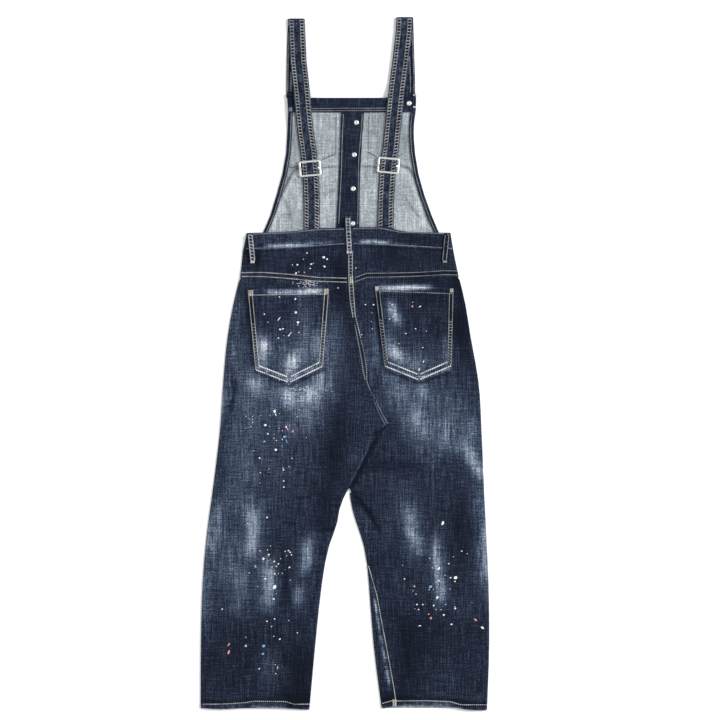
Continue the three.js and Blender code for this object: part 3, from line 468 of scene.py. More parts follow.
class ClothProperties(bpy.types.PropertyGroup):
    grid: bpy.props.FloatProperty(
        name="Grid", description="Spacing of the points that carry creases", default=3.0 * MM, unit="LENGTH"
    )
    thickness: bpy.props.FloatProperty(
        name="Denim thickness", description="Thickness of one layer", default=1.0 * MM, unit="LENGTH"
    )
    seam_lap: bpy.props.FloatProperty(
        name="Seam lap", description="Width of a felled seam", default=11.0 * MM, unit="LENGTH"
    )
    hem: bpy.props.FloatProperty(
        name="Hem", description="Depth of the leg hems", default=10.5 * MM, unit="LENGTH"
    )
    indigo: bpy.props.FloatVectorProperty(
        name="Indigo", description="Unworn denim", size=4, subtype="COLOR", default=linear("#1b2130")
    )
    washed: bpy.props.FloatVectorProperty(
        name="Washed indigo", description="Denim after washing",
        size=4, subtype="COLOR", default=linear("#3a4558"),
    )
    rubbed: bpy.props.FloatVectorProperty(
        name="Rubbed denim", description="Half worn threads",
        size=4, subtype="COLOR", default=linear("#717c8d"),
    )
    bare: bpy.props.FloatVectorProperty(
        name="Bare threads", description="Threads with no dye left",
        size=4, subtype="COLOR", default=linear("#cfd5da"),
    )
    reverse: bpy.props.FloatVectorProperty(
        name="Reverse", description="Pale side of the twill",
        size=4, subtype="COLOR", default=linear("#90989d"),
    )


class SewingProperties(bpy.types.PropertyGroup):
    stitch: bpy.props.FloatProperty(
        name="Stitch", description="Length of one stitch", default=3.4 * MM, unit="LENGTH"
    )
    pitch: bpy.props.FloatProperty(
        name="Pitch", description="From one stitch to the next", default=3.9 * MM, unit="LENGTH"
    )
    thread: bpy.props.FloatProperty(
        name="Thread", description="Width of a stitch", default=1.8 * MM, unit="LENGTH"
    )
    ecru: bpy.props.FloatVectorProperty(
        name="Ecru thread", description="Topstitching", size=4, subtype="COLOR", default=linear("#cfc8bc")
    )
    pale: bpy.props.FloatVectorProperty(
        name="Pale thread", description="Stitching at the foot of the pockets",
        size=4, subtype="COLOR", default=linear("#dde0e2"),
    )


def settings():
    return bpy.context.scene.dungarees_cloth


def sewing():
    return bpy.context.scene.dungarees_sewing


# Curves and noise over arrays of points


def ease(values, low, high):
    """0 at low, 1 at high, smooth between."""
    share = np.clip((values - low) / (high - low), 0, 1)
    return share * share * (3 - 2 * share)


def from_line(x, y, line):
    """Distance from each point to a line of points, and how far along the line its nearest point lies."""
    nearest = np.full(np.shape(x), np.inf)
    along = np.zeros(np.shape(x))
    travelled = 0.0
    for start, end in zip(line[:-1], line[1:]):
        step = end - start
        length = np.hypot(*step)
        share = np.clip(((x - start[0]) * step[0] + (y - start[1]) * step[1]) / length**2, 0, 1)
        away = np.hypot(x - start[0] - share * step[0], y - start[1] - share * step[1])
        closer = away < nearest
        along = np.where(closer, travelled + share * length, along)
        nearest = np.minimum(nearest, away)
        travelled += length
    return nearest, along / travelled


def rough(x, y, size, seed=0.0):
    """Smooth noise from -1 to 1 with features of a given size."""
    flat = [noise.noise((a / size, b / size, seed)) for a, b in zip(np.ravel(x), np.ravel(y))]
    return np.reshape(flat, np.shape(x))


def softened(values, passes):
    """Averages a grid with its neighbours, keeping its edges."""
    for _ in range(passes):
        for axis in (0, 1):
            padded = np.concatenate(
                [values.take([0], axis), values, values.take([-1], axis)], axis=axis
            )
            before = padded.take(range(0, values.shape[axis]), axis)
            after = padded.take(range(2, values.shape[axis] + 2), axis)
            values = (before + 2 * values + after) / 4
    return values


def relief(x, y):
    """Height that creases and the cloth's own unevenness add, alike for all layers that lie on each other."""
    height = 0.45 * MM * rough(x, y, 0.075, 3.0) + 0.16 * MM * rough(x, y, 0.022, 7.0)
    wander = 2.0 * MM * rough(x, y, 0.03, 11.0)
    for crease in CREASES:
        line = photo_line(crease["line"])
        away, along = from_line(x, y, line)
        taper = np.sqrt(np.clip(4 * along * (1 - along), 0.15, 1))
        share = (away + wander) / (crease["width"] * MM)
        height = height + crease["height"] * MM * taper * np.exp(-share * share)
    from_seam, _ = from_line(x, y, photo_line(CENTRE_SEAM))
    return height + 0.5 * MM * (1 - ease(from_seam, 4 * MM, 7 * MM))


def strokes_of(fades, x, y):
    """Change of tone from a table of soft strokes."""
    broad = np.zeros(np.shape(x))
    for reach, strength, line in fades:
        away, along = from_line(x, y, photo_line(line))
        share = away / (reach * PHOTO_PIXEL)
        taper = 1.1 - 0.5 * (2 * along - 1) ** 4
        broad = broad + strength * taper * np.exp(-share * share)
    return broad


def wear_and_shade_tone(x, y):
    """Tone of the denim, from 0 for unworn indigo to 1 for bare pale threads, with the painted shade and
    highlights of the stroke table.
    """
    streaks = 1 + 0.3 * rough(x, 0.08 * y, 6 * MM, 5.0) + 0.15 * rough(0.1 * x, y, 6 * MM, 8.0)
    return UNWORN + 0.04 * rough(x, y, 0.06, 21.0) + strokes_of(WEAR_AND_SHADE_STROKES, x, y) * streaks


def carried_on(places, values):
    """A curve through its values that runs straight on past its ends."""
    first_slope = (values[3] - values[0]) / (places[3] - places[0])
    last_slope = (values[-1] - values[-4]) / (places[-1] - places[-4])

    def curve(at):
        before = np.minimum(at - places[0], 0) * first_slope
        beyond = np.maximum(at - places[-1], 0) * last_slope
        return np.interp(at, places, values) + before + beyond

    return curve


class Solid:
    """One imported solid, or some finished pieces, measured by slices and from above."""

    def __init__(self, *names):
        points, triangles = [], []
        for name in names:
            mesh = (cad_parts.get(name) or bpy.data.objects[name]).data
            mesh.calc_loop_triangles()
            start = len(points)
            points += [tuple(v.co) for v in mesh.vertices]
            triangles += [tuple(start + i for i in t.vertices) for t in mesh.loop_triangles]
        self.points = np.array(points)
        corners = np.array(triangles)
        self.edges = np.concatenate([corners[:, [0, 1]], corners[:, [1, 2]], corners[:, [2, 0]]])
        self.tree = BVHTree.FromPolygons(points, triangles)
        self.low = self.points.min(0)
        self.high = self.points.max(0)

    def crossing(self, axis, value):
        """Points where the edges cross a plane."""
        start = self.points[self.edges[:, 0]]
        end = self.points[self.edges[:, 1]]
        cut = (start[:, axis] - value) * (end[:, axis] - value) < 0
        start, end = start[cut], end[cut]
        share = (value - start[:, axis]) / (end[:, axis] - start[:, axis])
        return start + share[:, None] * (end - start)

    def side_edges(self, low=None, high=None):
        """Left and right edges as functions of y, measured between two y and carried on beyond them."""
        return self.span_curves(1, 0, low, high)

    def end_edges(self, low, high):
        """Lower and upper edges as functions of x, measured between two x."""
        return self.span_curves(0, 1, low, high)

    def span_curves(self, axis, other, low, high):
        margin = 0.4 * MM
        low = self.low[axis] + margin if low is None else low
        high = self.high[axis] - margin if high is None else high
        places = np.linspace(low, high, max(8, int((high - low) / (4 * MM))))
        cuts = [self.crossing(axis, place)[:, other] for place in places]
        return (
            carried_on(places, np.array([cut.min() for cut in cuts])),
            carried_on(places, np.array([cut.max() for cut in cuts])),
        )

    def top(self, x, y):
        """Height of the upper face at each point."""
        heights = np.full(np.shape(x), np.nan)
        for index in np.ndindex(np.shape(x)):
            hit = self.tree.ray_cast(Vector((x[index], y[index], 0.1)), Vector((0, 0, -1)))
            if hit[0] is not None:
                heights[index] = hit[0].z
        gaps = np.isnan(heights)
        for index in zip(*np.nonzero(gaps)):
            near = self.tree.find_nearest(Vector((x[index], y[index], self.high[2])))
            heights[index] = near[0].z
        return heights


# Grids of points seen from above


def across(widths, step, fine_left, fine_right):
    """Shares from the left edge to the right one in each row, closer together along a turned edge."""
    turned = np.array([0.0, 0.25, 0.7, 1.3, 2.0, 3.0]) * MM
    plain = np.array([0.0, 0.8]) * MM
    left = turned if fine_left else plain
    right = turned if fine_right else plain
    middle = max(2, int(round((widths.max() - left[-1] - right[-1]) / step)))
    rows = []
    for width in widths:
        limit = min(1.0, 0.4 * width / max(left[-1], right[-1]))
        inner = np.linspace(left[-1] * limit, width - right[-1] * limit, middle + 1)
        rows.append(np.concatenate([left[:-1] * limit, inner, width - right[:-1][::-1] * limit]) / width)
    return np.array(rows)


def plan_between(left, right, lower, upper, levels, step, fine=(False, False), reach=70 * MM):
    """Points between side edges (x at y) and end edges (y at x), in rows from the lower end up."""
    low, high = levels[0], levels[-1]
    reach = min(reach, high - low)
    shares = across(np.array([right(v) - left(v) for v in levels]), step, *fine)
    level = np.repeat(levels[:, None], shares.shape[1], axis=1)
    near_upper = np.clip(1 - (high - level) / reach, 0, 1)
    near_lower = np.clip(1 - (level - low) / reach, 0, 1)
    y = level.copy()
    for _ in range(6):
        x = left(y) + (right(y) - left(y)) * shares
        y = level + near_upper * (upper(x) - high) + near_lower * (lower(x) - low)
    return x, y


def levels_between(low, high, step):
    """Rows from one y to another, with one more close to each end."""
    count = max(2, int(round((high - low) / step)))
    levels = np.linspace(low, high, count + 1)
    ends = np.array([low + 0.8 * MM, high - 0.8 * MM])
    return np.sort(np.concatenate([levels, ends]))


def roll_down(height, away, base, share=1.0):
    """Turns an edge down to its base in a quarter round."""
    radius = np.maximum(height - base, 0.2 * MM)
    inward = np.clip(1 - away / radius, 0, 1)
    return height - share * radius * (1 - np.sqrt(1 - inward * inward))


# Meshes


def grid_normals(points):
    """Upward normals of a grid of points."""
    along_rows = np.gradient(points, axis=0)
    along_columns = np.gradient(points, axis=1)
    normals = np.cross(along_columns, along_rows)
    normals /= np.linalg.norm(normals, axis=2, keepdims=True) + 1e-12
    return normals * np.sign(normals[..., 2].mean())


def add_object(name, points, faces, materials, face_slots=None, attributes=None):
    """Adds a piece that rides on the one body."""
    mesh = bpy.data.meshes.new(name)
    mesh.from_pydata([tuple(p) for p in points], [], faces)
    for material in materials:
        mesh.materials.append(material)
    if face_slots is not None:
        mesh.polygons.foreach_set("material_index", face_slots)
    mesh.polygons.foreach_set("use_smooth", [True] * len(faces))
    for key, values in (attributes or {}).items():
        layer = mesh.attributes.new(key, "FLOAT", "POINT")
        layer.data.foreach_set("value", np.asarray(values, dtype=np.float32))
    mesh.update()
    piece = bpy.data.objects.new(name, mesh)
    bpy.context.scene.collection.objects.link(piece)
    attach(piece, "root")
    return piece


def shell_faces(rows, columns):
    """Faces of a closed shell: the upper grid, the lower grid behind it, and the rim between them."""
    count = rows * columns
    index = np.arange(count).reshape(rows, columns)
    a, b, c, d = index[:-1, :-1], index[:-1, 1:], index[1:, 1:], index[1:, :-1]
    upper = np.stack([a, b, c, d], axis=-1).reshape(-1, 4)
    lower = np.stack([d, c, b, a], axis=-1).reshape(-1, 4) + count
    loop = np.concatenate([index[0, :-1], index[:-1, -1], index[-1, :0:-1], index[:0:-1, 0]])
    after = np.roll(loop, -1)
    rim = np.stack([after, loop, loop + count, after + count], axis=-1)
    faces = np.concatenate([upper, lower, rim])
    slots = np.concatenate([np.zeros(len(upper)), np.ones(len(lower)), np.zeros(len(rim))])
    return faces.tolist(), slots.astype(int).tolist()


def add_shell(name, points, thick, materials, attributes, floor=0.02 * MM):
    """A thin closed cloth shell under a grid of points, with its outer face up."""
    inner = points - grid_normals(points) * thick
    inner[..., 2] = np.maximum(inner[..., 2], floor)
    faces, slots = shell_faces(*points.shape[:2])
    both = np.concatenate([points.reshape(-1, 3), inner.reshape(-1, 3)])
    doubled = {key: np.tile(np.ravel(values), 2) for key, values in attributes.items()}
    return add_object(name, both, faces, materials, slots, doubled)


def add_cloth(node, points, thick, outside, inside, worn):
    """The sheet that dresses a node, with the materials of its two sides and the tone of its denim."""
    sides = [MATERIALS[outside], MATERIALS[inside]]
    return add_shell(node + "_cloth", points, thick, sides, {"rubbed": worn})


def declare_cloth(points, node_names):
    """Hides the solids that a cloth piece replaces, and works out the size it was cut to without keeping it.
    """
    across_lengths = np.linalg.norm(np.diff(points, axis=1), axis=2).sum(axis=1)
    along_lengths = np.linalg.norm(np.diff(points, axis=0), axis=2).sum(axis=0)
    side_a = points[1:, 1:] - points[:-1, :-1]
    side_b = points[1:, :-1] - points[:-1, 1:]
    area = 0.5 * np.linalg.norm(np.cross(side_a, side_b), axis=2).sum()
    width, length = float(across_lengths.max()), float(along_lengths.max())
    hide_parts(*node_names)
    area = min(float(area), width * length)


def edge_wear_and_shade(away, reach, strength):
    """Change of tone along an edge, which fades out with the distance from it; a strength below 0 darkens,
    also for painted shade.
    """
    share = away / reach
    return strength * np.exp(-share * share)


# Materials


def add_node(tree, kind, settings_by_name=None, **links):
    """Adds a node with its settings, and links its inputs from other nodes' outputs."""
    node = tree.nodes.new(kind)
    for name, value in (settings_by_name or {}).items():
        if isinstance(name, str) and hasattr(node, name):
            setattr(node, name, value)
        else:
            node.inputs[name].default_value = value
    for name, source in links.items():
        key = int(name[1:]) if name[0] == "i" and name[1:].isdigit() else name.replace("_", " ")
        tree.links.new(source, node.inputs[key])
    return node


def new_material(name):
    material = bpy.data.materials.new(name)
    material.use_nodes = True
    tree = material.node_tree
    tree.nodes.clear()
    surface = add_node(tree, "ShaderNodeBsdfPrincipled")
    output = add_node(tree, "ShaderNodeOutputMaterial")
    tree.links.new(surface.outputs["BSDF"], output.inputs["Surface"])
    return material, tree, surface


def indigo_twill(name, tones, contrast):
    """Indigo cotton twill: dark warp over pale weft, so wear bares pale threads in a crossed hatch."""
    material, tree, surface = new_material(name)
    place = add_node(tree, "ShaderNodeTexCoord").outputs["Object"]
    # Yarns are under 1 mm apart: streaks of 2.4 mm are drawn instead, the finest that show
    warp_scale = (1 / (2.4 * MM), 1 / (50 * MM), 1)
    weft_scale = (1 / (34 * MM), 1 / (2.4 * MM), 1)
    warp_map = add_node(tree, "ShaderNodeMapping", {"Scale": warp_scale}, Vector=place)
    weft_map = add_node(tree, "ShaderNodeMapping", {"Scale": weft_scale}, Vector=place)
    fine = {"Scale": 1.0, "Detail": 2.0, "Roughness": 0.6}
    warp = add_node(tree, "ShaderNodeTexNoise", fine, Vector=warp_map.outputs["Vector"])
    weft = add_node(tree, "ShaderNodeTexNoise", fine, Vector=weft_map.outputs["Vector"])
    grain = add_node(
        tree, "ShaderNodeTexNoise", {"Scale": 1 / (2.6 * MM), "Detail": 1.0, "Roughness": 0.6}, Vector=place
    )
    hatch = add_node(
        tree, "ShaderNodeMath", {"operation": "MULTIPLY_ADD", 1: 1.3},
        i0=warp.outputs["Fac"], i2=weft.outputs["Fac"],
    )
    threads = add_node(
        tree, "ShaderNodeMath", {"operation": "MULTIPLY_ADD", 1: 1.1},
        i0=grain.outputs["Fac"], i2=hatch.outputs["Value"],
    )
    centred = add_node(
        tree, "ShaderNodeMath", {"operation": "MULTIPLY_ADD", 1: contrast, 2: -1.7 * contrast},
        i0=threads.outputs["Value"],
    )
    # The rubbed attribute holds the wear and also the painted shade and highlights of the stroke tables
    worn = add_node(tree, "ShaderNodeAttribute", {"attribute_name": "rubbed"})
    # The hatch shows more where the dye is rubbed off
    bared = add_node(
        tree, "ShaderNodeMath", {"operation": "MULTIPLY_ADD", 1: 0.4, 2: 0.9}, i0=worn.outputs["Fac"]
    )
    tone = add_node(
        tree, "ShaderNodeMath", {"operation": "MULTIPLY_ADD"},
        i0=centred.outputs["Value"], i1=bared.outputs["Value"], i2=worn.outputs["Fac"],
    )
    ramp = add_node(tree, "ShaderNodeValToRGB", Fac=tone.outputs["Value"])
    for count, (stop, colour) in enumerate(tones):
        if count > 1:
            ramp.color_ramp.elements.new(stop)
        ramp.color_ramp.elements[count].position = stop
        ramp.color_ramp.elements[count].color = colour
    twill_map = add_node(
        tree, "ShaderNodeMapping",
        {"Rotation": (0, 0, math.radians(63)), "Scale": (1 / (9 * MM),) * 3}, Vector=place,
    )
    twill = add_node(
        tree, "ShaderNodeTexWave",
        {"Scale": 1.0, "Distortion": 0.6, "Detail": 1.0}, Vector=twill_map.outputs["Vector"],
    )
    weave = add_node(
        tree, "ShaderNodeMath", {"operation": "MULTIPLY_ADD", 1: 0.5},
        i0=twill.outputs["Fac"], i2=threads.outputs["Value"],
    )
    bump = add_node(
        tree, "ShaderNodeBump", {"Strength": 0.35, "Distance": 0.35 * MM}, Height=weave.outputs["Value"]
    )
    tree.links.new(ramp.outputs["Color"], surface.inputs["Base Color"])
    tree.links.new(bump.outputs["Normal"], surface.inputs["Normal"])
    surface.inputs["Roughness"].default_value = 0.93
    surface.inputs["Specular IOR Level"].default_value = 0.06
    return material


def cotton_thread(name, colour):
    """Spun cotton thread: matt, with a slight change of tone from stitch to stitch."""
    material, tree, surface = new_material(name)
    place = add_node(tree, "ShaderNodeTexCoord").outputs["Object"]
    patchy = add_node(tree, "ShaderNodeTexNoise", {"Scale": 1 / (14 * MM), "Detail": 3.0}, Vector=place)
    dull = tuple(0.45 * c for c in colour[:3]) + (1.0,)
    tone = add_node(
        tree, "ShaderNodeMapRange", {"From Min": 0.3, "From Max": 0.6}, Value=patchy.outputs["Fac"]
    )
    mixed = add_node(
        tree, "ShaderNodeMix", {"data_type": "RGBA", 6: dull, 7: colour}, i0=tone.outputs["Result"]
    )
    tree.links.new(mixed.outputs[2], surface.inputs["Base Color"])
    surface.inputs["Roughness"].default_value = 0.85
    surface.inputs["Specular IOR Level"].default_value = 0.25
    return material


def nickel_plate(name, colour, roughness):
    """Nickel plated steel: a soft bright metal, duller where handling has scratched it."""
    material, tree, surface = new_material(name)
    place = add_node(tree, "ShaderNodeTexCoord").outputs["Object"]
    scratch = add_node(
        tree, "ShaderNodeTexNoise", {"Scale": 1 / (3 * MM), "Detail": 5.0, "Roughness": 0.7}, Vector=place
    )
    dull = add_node(
        tree, "ShaderNodeMapRange",
        {"From Min": 0.35, "From Max": 0.7, "To Min": roughness, "To Max": roughness + 0.22},
        Value=scratch.outputs["Fac"],
    )
    tree.links.new(dull.outputs["Result"], surface.inputs["Roughness"])
    tarnish = add_node(
        tree, "ShaderNodeMix",
        {"data_type": "RGBA", 6: colour, 7: tuple(0.7 * c for c in colour[:3]) + (1.0,)},
        i0=scratch.outputs["Fac"],
    )
    tree.links.new(tarnish.outputs[2], surface.inputs["Base Color"])
    surface.inputs["Metallic"].default_value = 1.0
    return material


def dried_paint(name, colour):
    """Dried household paint: a matt film with a faint crackle of tone."""
    material, tree, surface = new_material(name)
    place = add_node(tree, "ShaderNodeTexCoord").outputs["Object"]
    mottle = add_node(
        tree, "ShaderNodeTexNoise", {"Scale": 1 / (4 * MM), "Detail": 3.0}, Vector=place
    )
    thin = tuple(0.72 * c for c in colour[:3]) + (1.0,)
    mixed = add_node(
        tree, "ShaderNodeMix", {"data_type": "RGBA", 6: thin, 7: colour}, i0=mottle.outputs["Fac"]
    )
    tree.links.new(mixed.outputs[2], surface.inputs["Base Color"])
    surface.inputs["Roughness"].default_value = 0.6
    return material


MATERIALS = {}


def make_materials():
    """One material for each cloth, thread, metal and paint, before the pieces need them."""
    cloth = settings()
    indigo, washed, rubbed, bare, reverse = (
        tuple(getattr(cloth, key)) for key in ("indigo", "washed", "rubbed", "bare", "reverse")
    )
    # The darkest stops are reached by the dark threads of the hatch and by the painted shade of the stroke
    # tables
    black_blue = tuple(0.4 * c for c in indigo[:3]) + (1.0,)
    worn_tones = [(0.0, black_blue), (0.2, indigo), (0.42, washed), (0.64, rubbed), (1.0, bare)]
    MATERIALS["denim"] = indigo_twill("worn_indigo_denim", worn_tones, 0.46)
    MATERIALS["dark"] = indigo_twill("dark_indigo_denim", worn_tones, 0.42)
    pale_tones = [(0.0, linear("#4e555d")), (0.5, reverse), (1.0, linear("#d9dddf"))]
    MATERIALS["reverse"] = indigo_twill("reverse_of_denim", pale_tones, 0.58)
    MATERIALS["ecru"] = cotton_thread("ecru_cotton_thread", tuple(sewing().ecru))
    MATERIALS["pale"] = cotton_thread("pale_cotton_thread", tuple(sewing().pale))
    MATERIALS["grey"] = cotton_thread("grey_cotton_thread", linear("#868a90"))
    MATERIALS["dull"] = cotton_thread("dull_cotton_thread", linear("#b2b3b2"))
    MATERIALS["slate"] = cotton_thread("slate_cotton_thread", linear("#66718a"))
    # Dark thread for the painted shadow lines on the bib
    MATERIALS["shadow"] = cotton_thread("painted_shadow_line_thread", linear("#4a505a"))
    MATERIALS["nickel"] = nickel_plate("nickel_plated_steel", linear("#f6f6f4"), 0.42)
    MATERIALS["button"] = nickel_plate("nickel_plated_button_back", linear("#eeeeec"), 0.4)
    MATERIALS["white"] = dried_paint("dried_white_paint", linear("#e9ebec"))
    MATERIALS["red"] = dried_paint("dried_red_paint", linear("#dd938c"))
    MATERIALS["blue"] = dried_paint("dried_blue_paint", linear("#7ba8da"))


# Cloth pieces


def back_piece(solid, edges, levels, rolled, base, share, lap_rise=None, hem_clear=0.0, wear=None):
    """Points of a back piece: the solid's upper face, made smooth, with creases and turned sides."""
    left, right, lower, upper = edges
    x, y = plan_between(left, right, lower, upper, levels, settings().grid, rolled)
    from_left, from_right = x - left(y), right(y) - x
    inset_left = 4 * MM if rolled[0] else 0.5 * MM
    inset_right = 4 * MM if rolled[1] else 0.5 * MM
    ask_x = np.clip(x, left(y) + inset_left, np.maximum(right(y) - inset_right, left(y) + inset_left))
    ask_y = np.clip(y, lower(x) + 0.6 * MM + hem_clear, upper(x) - 0.6 * MM)
    height = softened(solid.top(ask_x, ask_y), 10)
    calm = np.ones_like(x)
    for turned, away in zip(rolled, (from_left, from_right)):
        if turned:
            calm = calm * ease(away, 1 * MM, 14 * MM)
    height = height + relief(x, y) * calm
    if lap_rise is not None:
        height = height + lap_rise(x, y)
    worn = wear_and_shade_tone(x, y)
    if wear is not None:
        worn = worn + wear(x, y)
    for turned, away in zip(rolled, (from_left, from_right)):
        if turned:
            height = roll_down(height, away, base(x, y), share(x, y))
            worn = worn + edge_wear_and_shade(away, 3 * MM, 0.08)
    return np.stack([x, y, height], axis=-1), worn


def floor_base(x, y):
    """The height to roll an edge down to where cloth lies on the floor."""
    return np.zeros_like(x)


def whole(x, y):
    """The share of an edge that is rolled down: all of it."""
    return np.ones_like(x)


class DUNGAREES_OT_legs(bpy.types.Operator):
    """Makes the backs of the two legs and the turned stretch of the right front"""

    bl_idname = "dungarees.legs"
    bl_label = "Leg backs"

    def execute(self, context):
        cloth = settings()
        for node in ("leg_back_left", "leg_back_right", "leg_front_right_turn"):
            solid = Solid(node)
            hem_y = solid.low[1] + 12 * MM
            turned_front = node == "leg_front_right_turn"
            left, right = solid.side_edges(hem_y, solid.high[1] - (0.5 if turned_front else 16) * MM)
            lower, _ = solid.end_edges(float(left(hem_y)) + 1 * MM, float(right(hem_y)) - 1 * MM)
            top_y = solid.high[1] - 16 * MM
            if turned_front:
                def upper(x, y=solid.high[1]):
                    return np.full_like(x, y)
            else:
                _, upper = solid.end_edges(float(left(top_y)) + 2 * MM, float(right(top_y)) - 2 * MM)
            middle = 0.5 * (left(hem_y) + right(hem_y))
            low, high = float(lower(middle)), float(upper(np.array([middle]))[0])
            rows = levels_between(low, high, cloth.grid)
            hem_rows = low + cloth.hem + np.array([-0.9, 0.9]) * MM
            rows = np.sort(np.concatenate([rows, hem_rows]))
            rolled = {
                "leg_back_left": (True, True),
                "leg_back_right": (False, True),
                "leg_front_right_turn": (True, False),
            }[node]

            def base(x, y):
                return np.where((y > LEGS_PART_Y) & (x > 0), 2.8 * MM, 0.0)

            def share(x, y, node=node):
                plain = (x > -0.05) & (y > CROTCH_Y - 2 * MM) & (x < 0.12)
                return np.where(plain, 0.0, 1.0) if node == "leg_back_left" else np.ones_like(x)

            def hem_rise(x, y, lower=lower):
                above = y - lower(x)
                puckers = 0.25 * MM * rough(x, y * 0.2, 9 * MM, 2.0)
                return np.where(above < cloth.hem, 0.8 * MM + puckers, 0.0)

            def hem_wear(x, y, lower=lower):
                above = y - lower(x)
                patchy = 1 + 0.8 * rough(x, y, 9 * MM, 25.0)
                band = np.where(above < cloth.hem, 0.12 * patchy, 0.0)
                above_row = edge_wear_and_shade(above - cloth.hem - 3 * MM, 3 * MM, 0.12)
                return band + edge_wear_and_shade(above, 2.2 * MM, 0.2) - above_row

            points, worn = back_piece(
                solid, (left, right, lower, upper), rows, rolled, base, share,
                hem_rise, cloth.hem + 2 * MM, hem_wear,
            )
            piece = add_cloth(node, points, cloth.thickness, "denim", "reverse", worn)
            declare_cloth(points, [node])
        return {"FINISHED"}


class DUNGAREES_OT_fronts(bpy.types.Operator):
    """Makes the fronts of the legs and the front waistband, which lie flat underneath"""

    bl_idname = "dungarees.fronts"
    bl_label = "Fronts"

    def execute(self, context):
        cloth = settings()
        for node, slot in (
            ("leg_front_left", "worn_denim"),
            ("leg_front_right", "worn_denim"),
            ("waistband_front", "dark_denim"),
        ):
            solid = Solid(node)
            left, right = solid.side_edges()

            def level(y):
                return lambda x: np.full_like(x, y)

            rows = levels_between(solid.low[1], solid.high[1], 8 * MM)
            x, y = plan_between(left, right, level(solid.low[1]), level(solid.high[1]), rows, 10 * MM)
            height = cloth.thickness + 0.12 * MM * (1 + rough(x, y, 0.03, 4.0))
            points = np.stack([x, y, height], axis=-1)
            worn = np.full_like(x, 0.5)
            piece = add_cloth(node, points, cloth.thickness, "reverse", "denim", worn)
            declare_cloth(points, [node])
        return {"FINISHED"}


class DUNGAREES_OT_waist(bpy.types.Operator):
    """Makes the back yokes and the back waistband"""

    bl_idname = "dungarees.waist"
    bl_label = "Yokes and waistband"

    def execute(self, context):
        cloth = settings()
        for node, rolled in (
            ("yoke_left", (True, False)),
            ("yoke_right", (False, True)),
            ("waistband_back", (True, True)),
        ):
            solid = Solid(node)
            middle_y = 0.5 * (solid.low[1] + solid.high[1])
            left, right = solid.side_edges(middle_y - 8 * MM, middle_y + 8 * MM)
            lower, upper = solid.end_edges(float(left(middle_y)) + 6 * MM, float(right(middle_y)) - 6 * MM)
            middle_x = np.array([0.5 * (left(middle_y) + right(middle_y))])
            rows = levels_between(float(lower(middle_x)[0]), float(upper(middle_x)[0]), cloth.grid)
            band = node == "waistband_back"

            def lap_rise(x, y, lower=lower, upper=upper, band=band):
                puckers = 0.22 * MM * rough(x, y * 0.3, 8 * MM, 6.0)
                if band:
                    edge = np.exp(-(((upper(x) - y) / (5 * MM)) ** 2))
                    return puckers + 0.3 * MM * edge
                return np.where(y - lower(x) < cloth.seam_lap, 0.45 * MM + puckers, 0.0)

            def wear(x, y, lower=lower, upper=upper, band=band):
                low_edge = edge_wear_and_shade(y - lower(x), 1.5 * MM, 0.1)
                # Painted shade on the yoke along its top, where the waistband's lower edge lies over it
                shade_under_band = edge_wear_and_shade(upper(x) - y, 4 * MM, -0.1)
                return low_edge + (edge_wear_and_shade(upper(x) - y, 2.5 * MM, 0.12) if band else shade_under_band)

            points, worn = back_piece(
                solid, (left, right, lower, upper), rows, rolled, floor_base, whole, lap_rise,
                0.0 if band else cloth.seam_lap + 2 * MM, wear,
            )
            thick = 1.8 * MM if band else cloth.thickness
            piece = add_cloth(node, points, thick, "denim" if band else "dark", "reverse", worn)
            declare_cloth(points, [node])
        return {"FINISHED"}


def pocket_corners(node):
    """The five corners of a pocket: mouth left and right, low right, point, low left."""
    points = Solid(node).points[:, :2]
    directions = [(-1, 1), (1, 1), (1, -1), (0, -1), (-1, -1)]
    return [points[np.argmax(points @ np.array(d))] for d in directions]


def pocket_plan(corners, across_shares, down_shares):
    mouth_left, mouth_right, low_right, point, low_left = corners
    u, v = np.meshgrid(across_shares, down_shares)
    mouth = mouth_left + (mouth_right - mouth_left) * u[..., None]
    to_point = low_left + (point - low_left) * np.clip(2 * u, 0, 1)[..., None]
    foot = np.where((u < 0.5)[..., None], to_point, point + (low_right - point) * (2 * u - 1)[..., None])
    plan = foot + (mouth - foot) * v[..., None]
    return plan[..., 0], plan[..., 1]


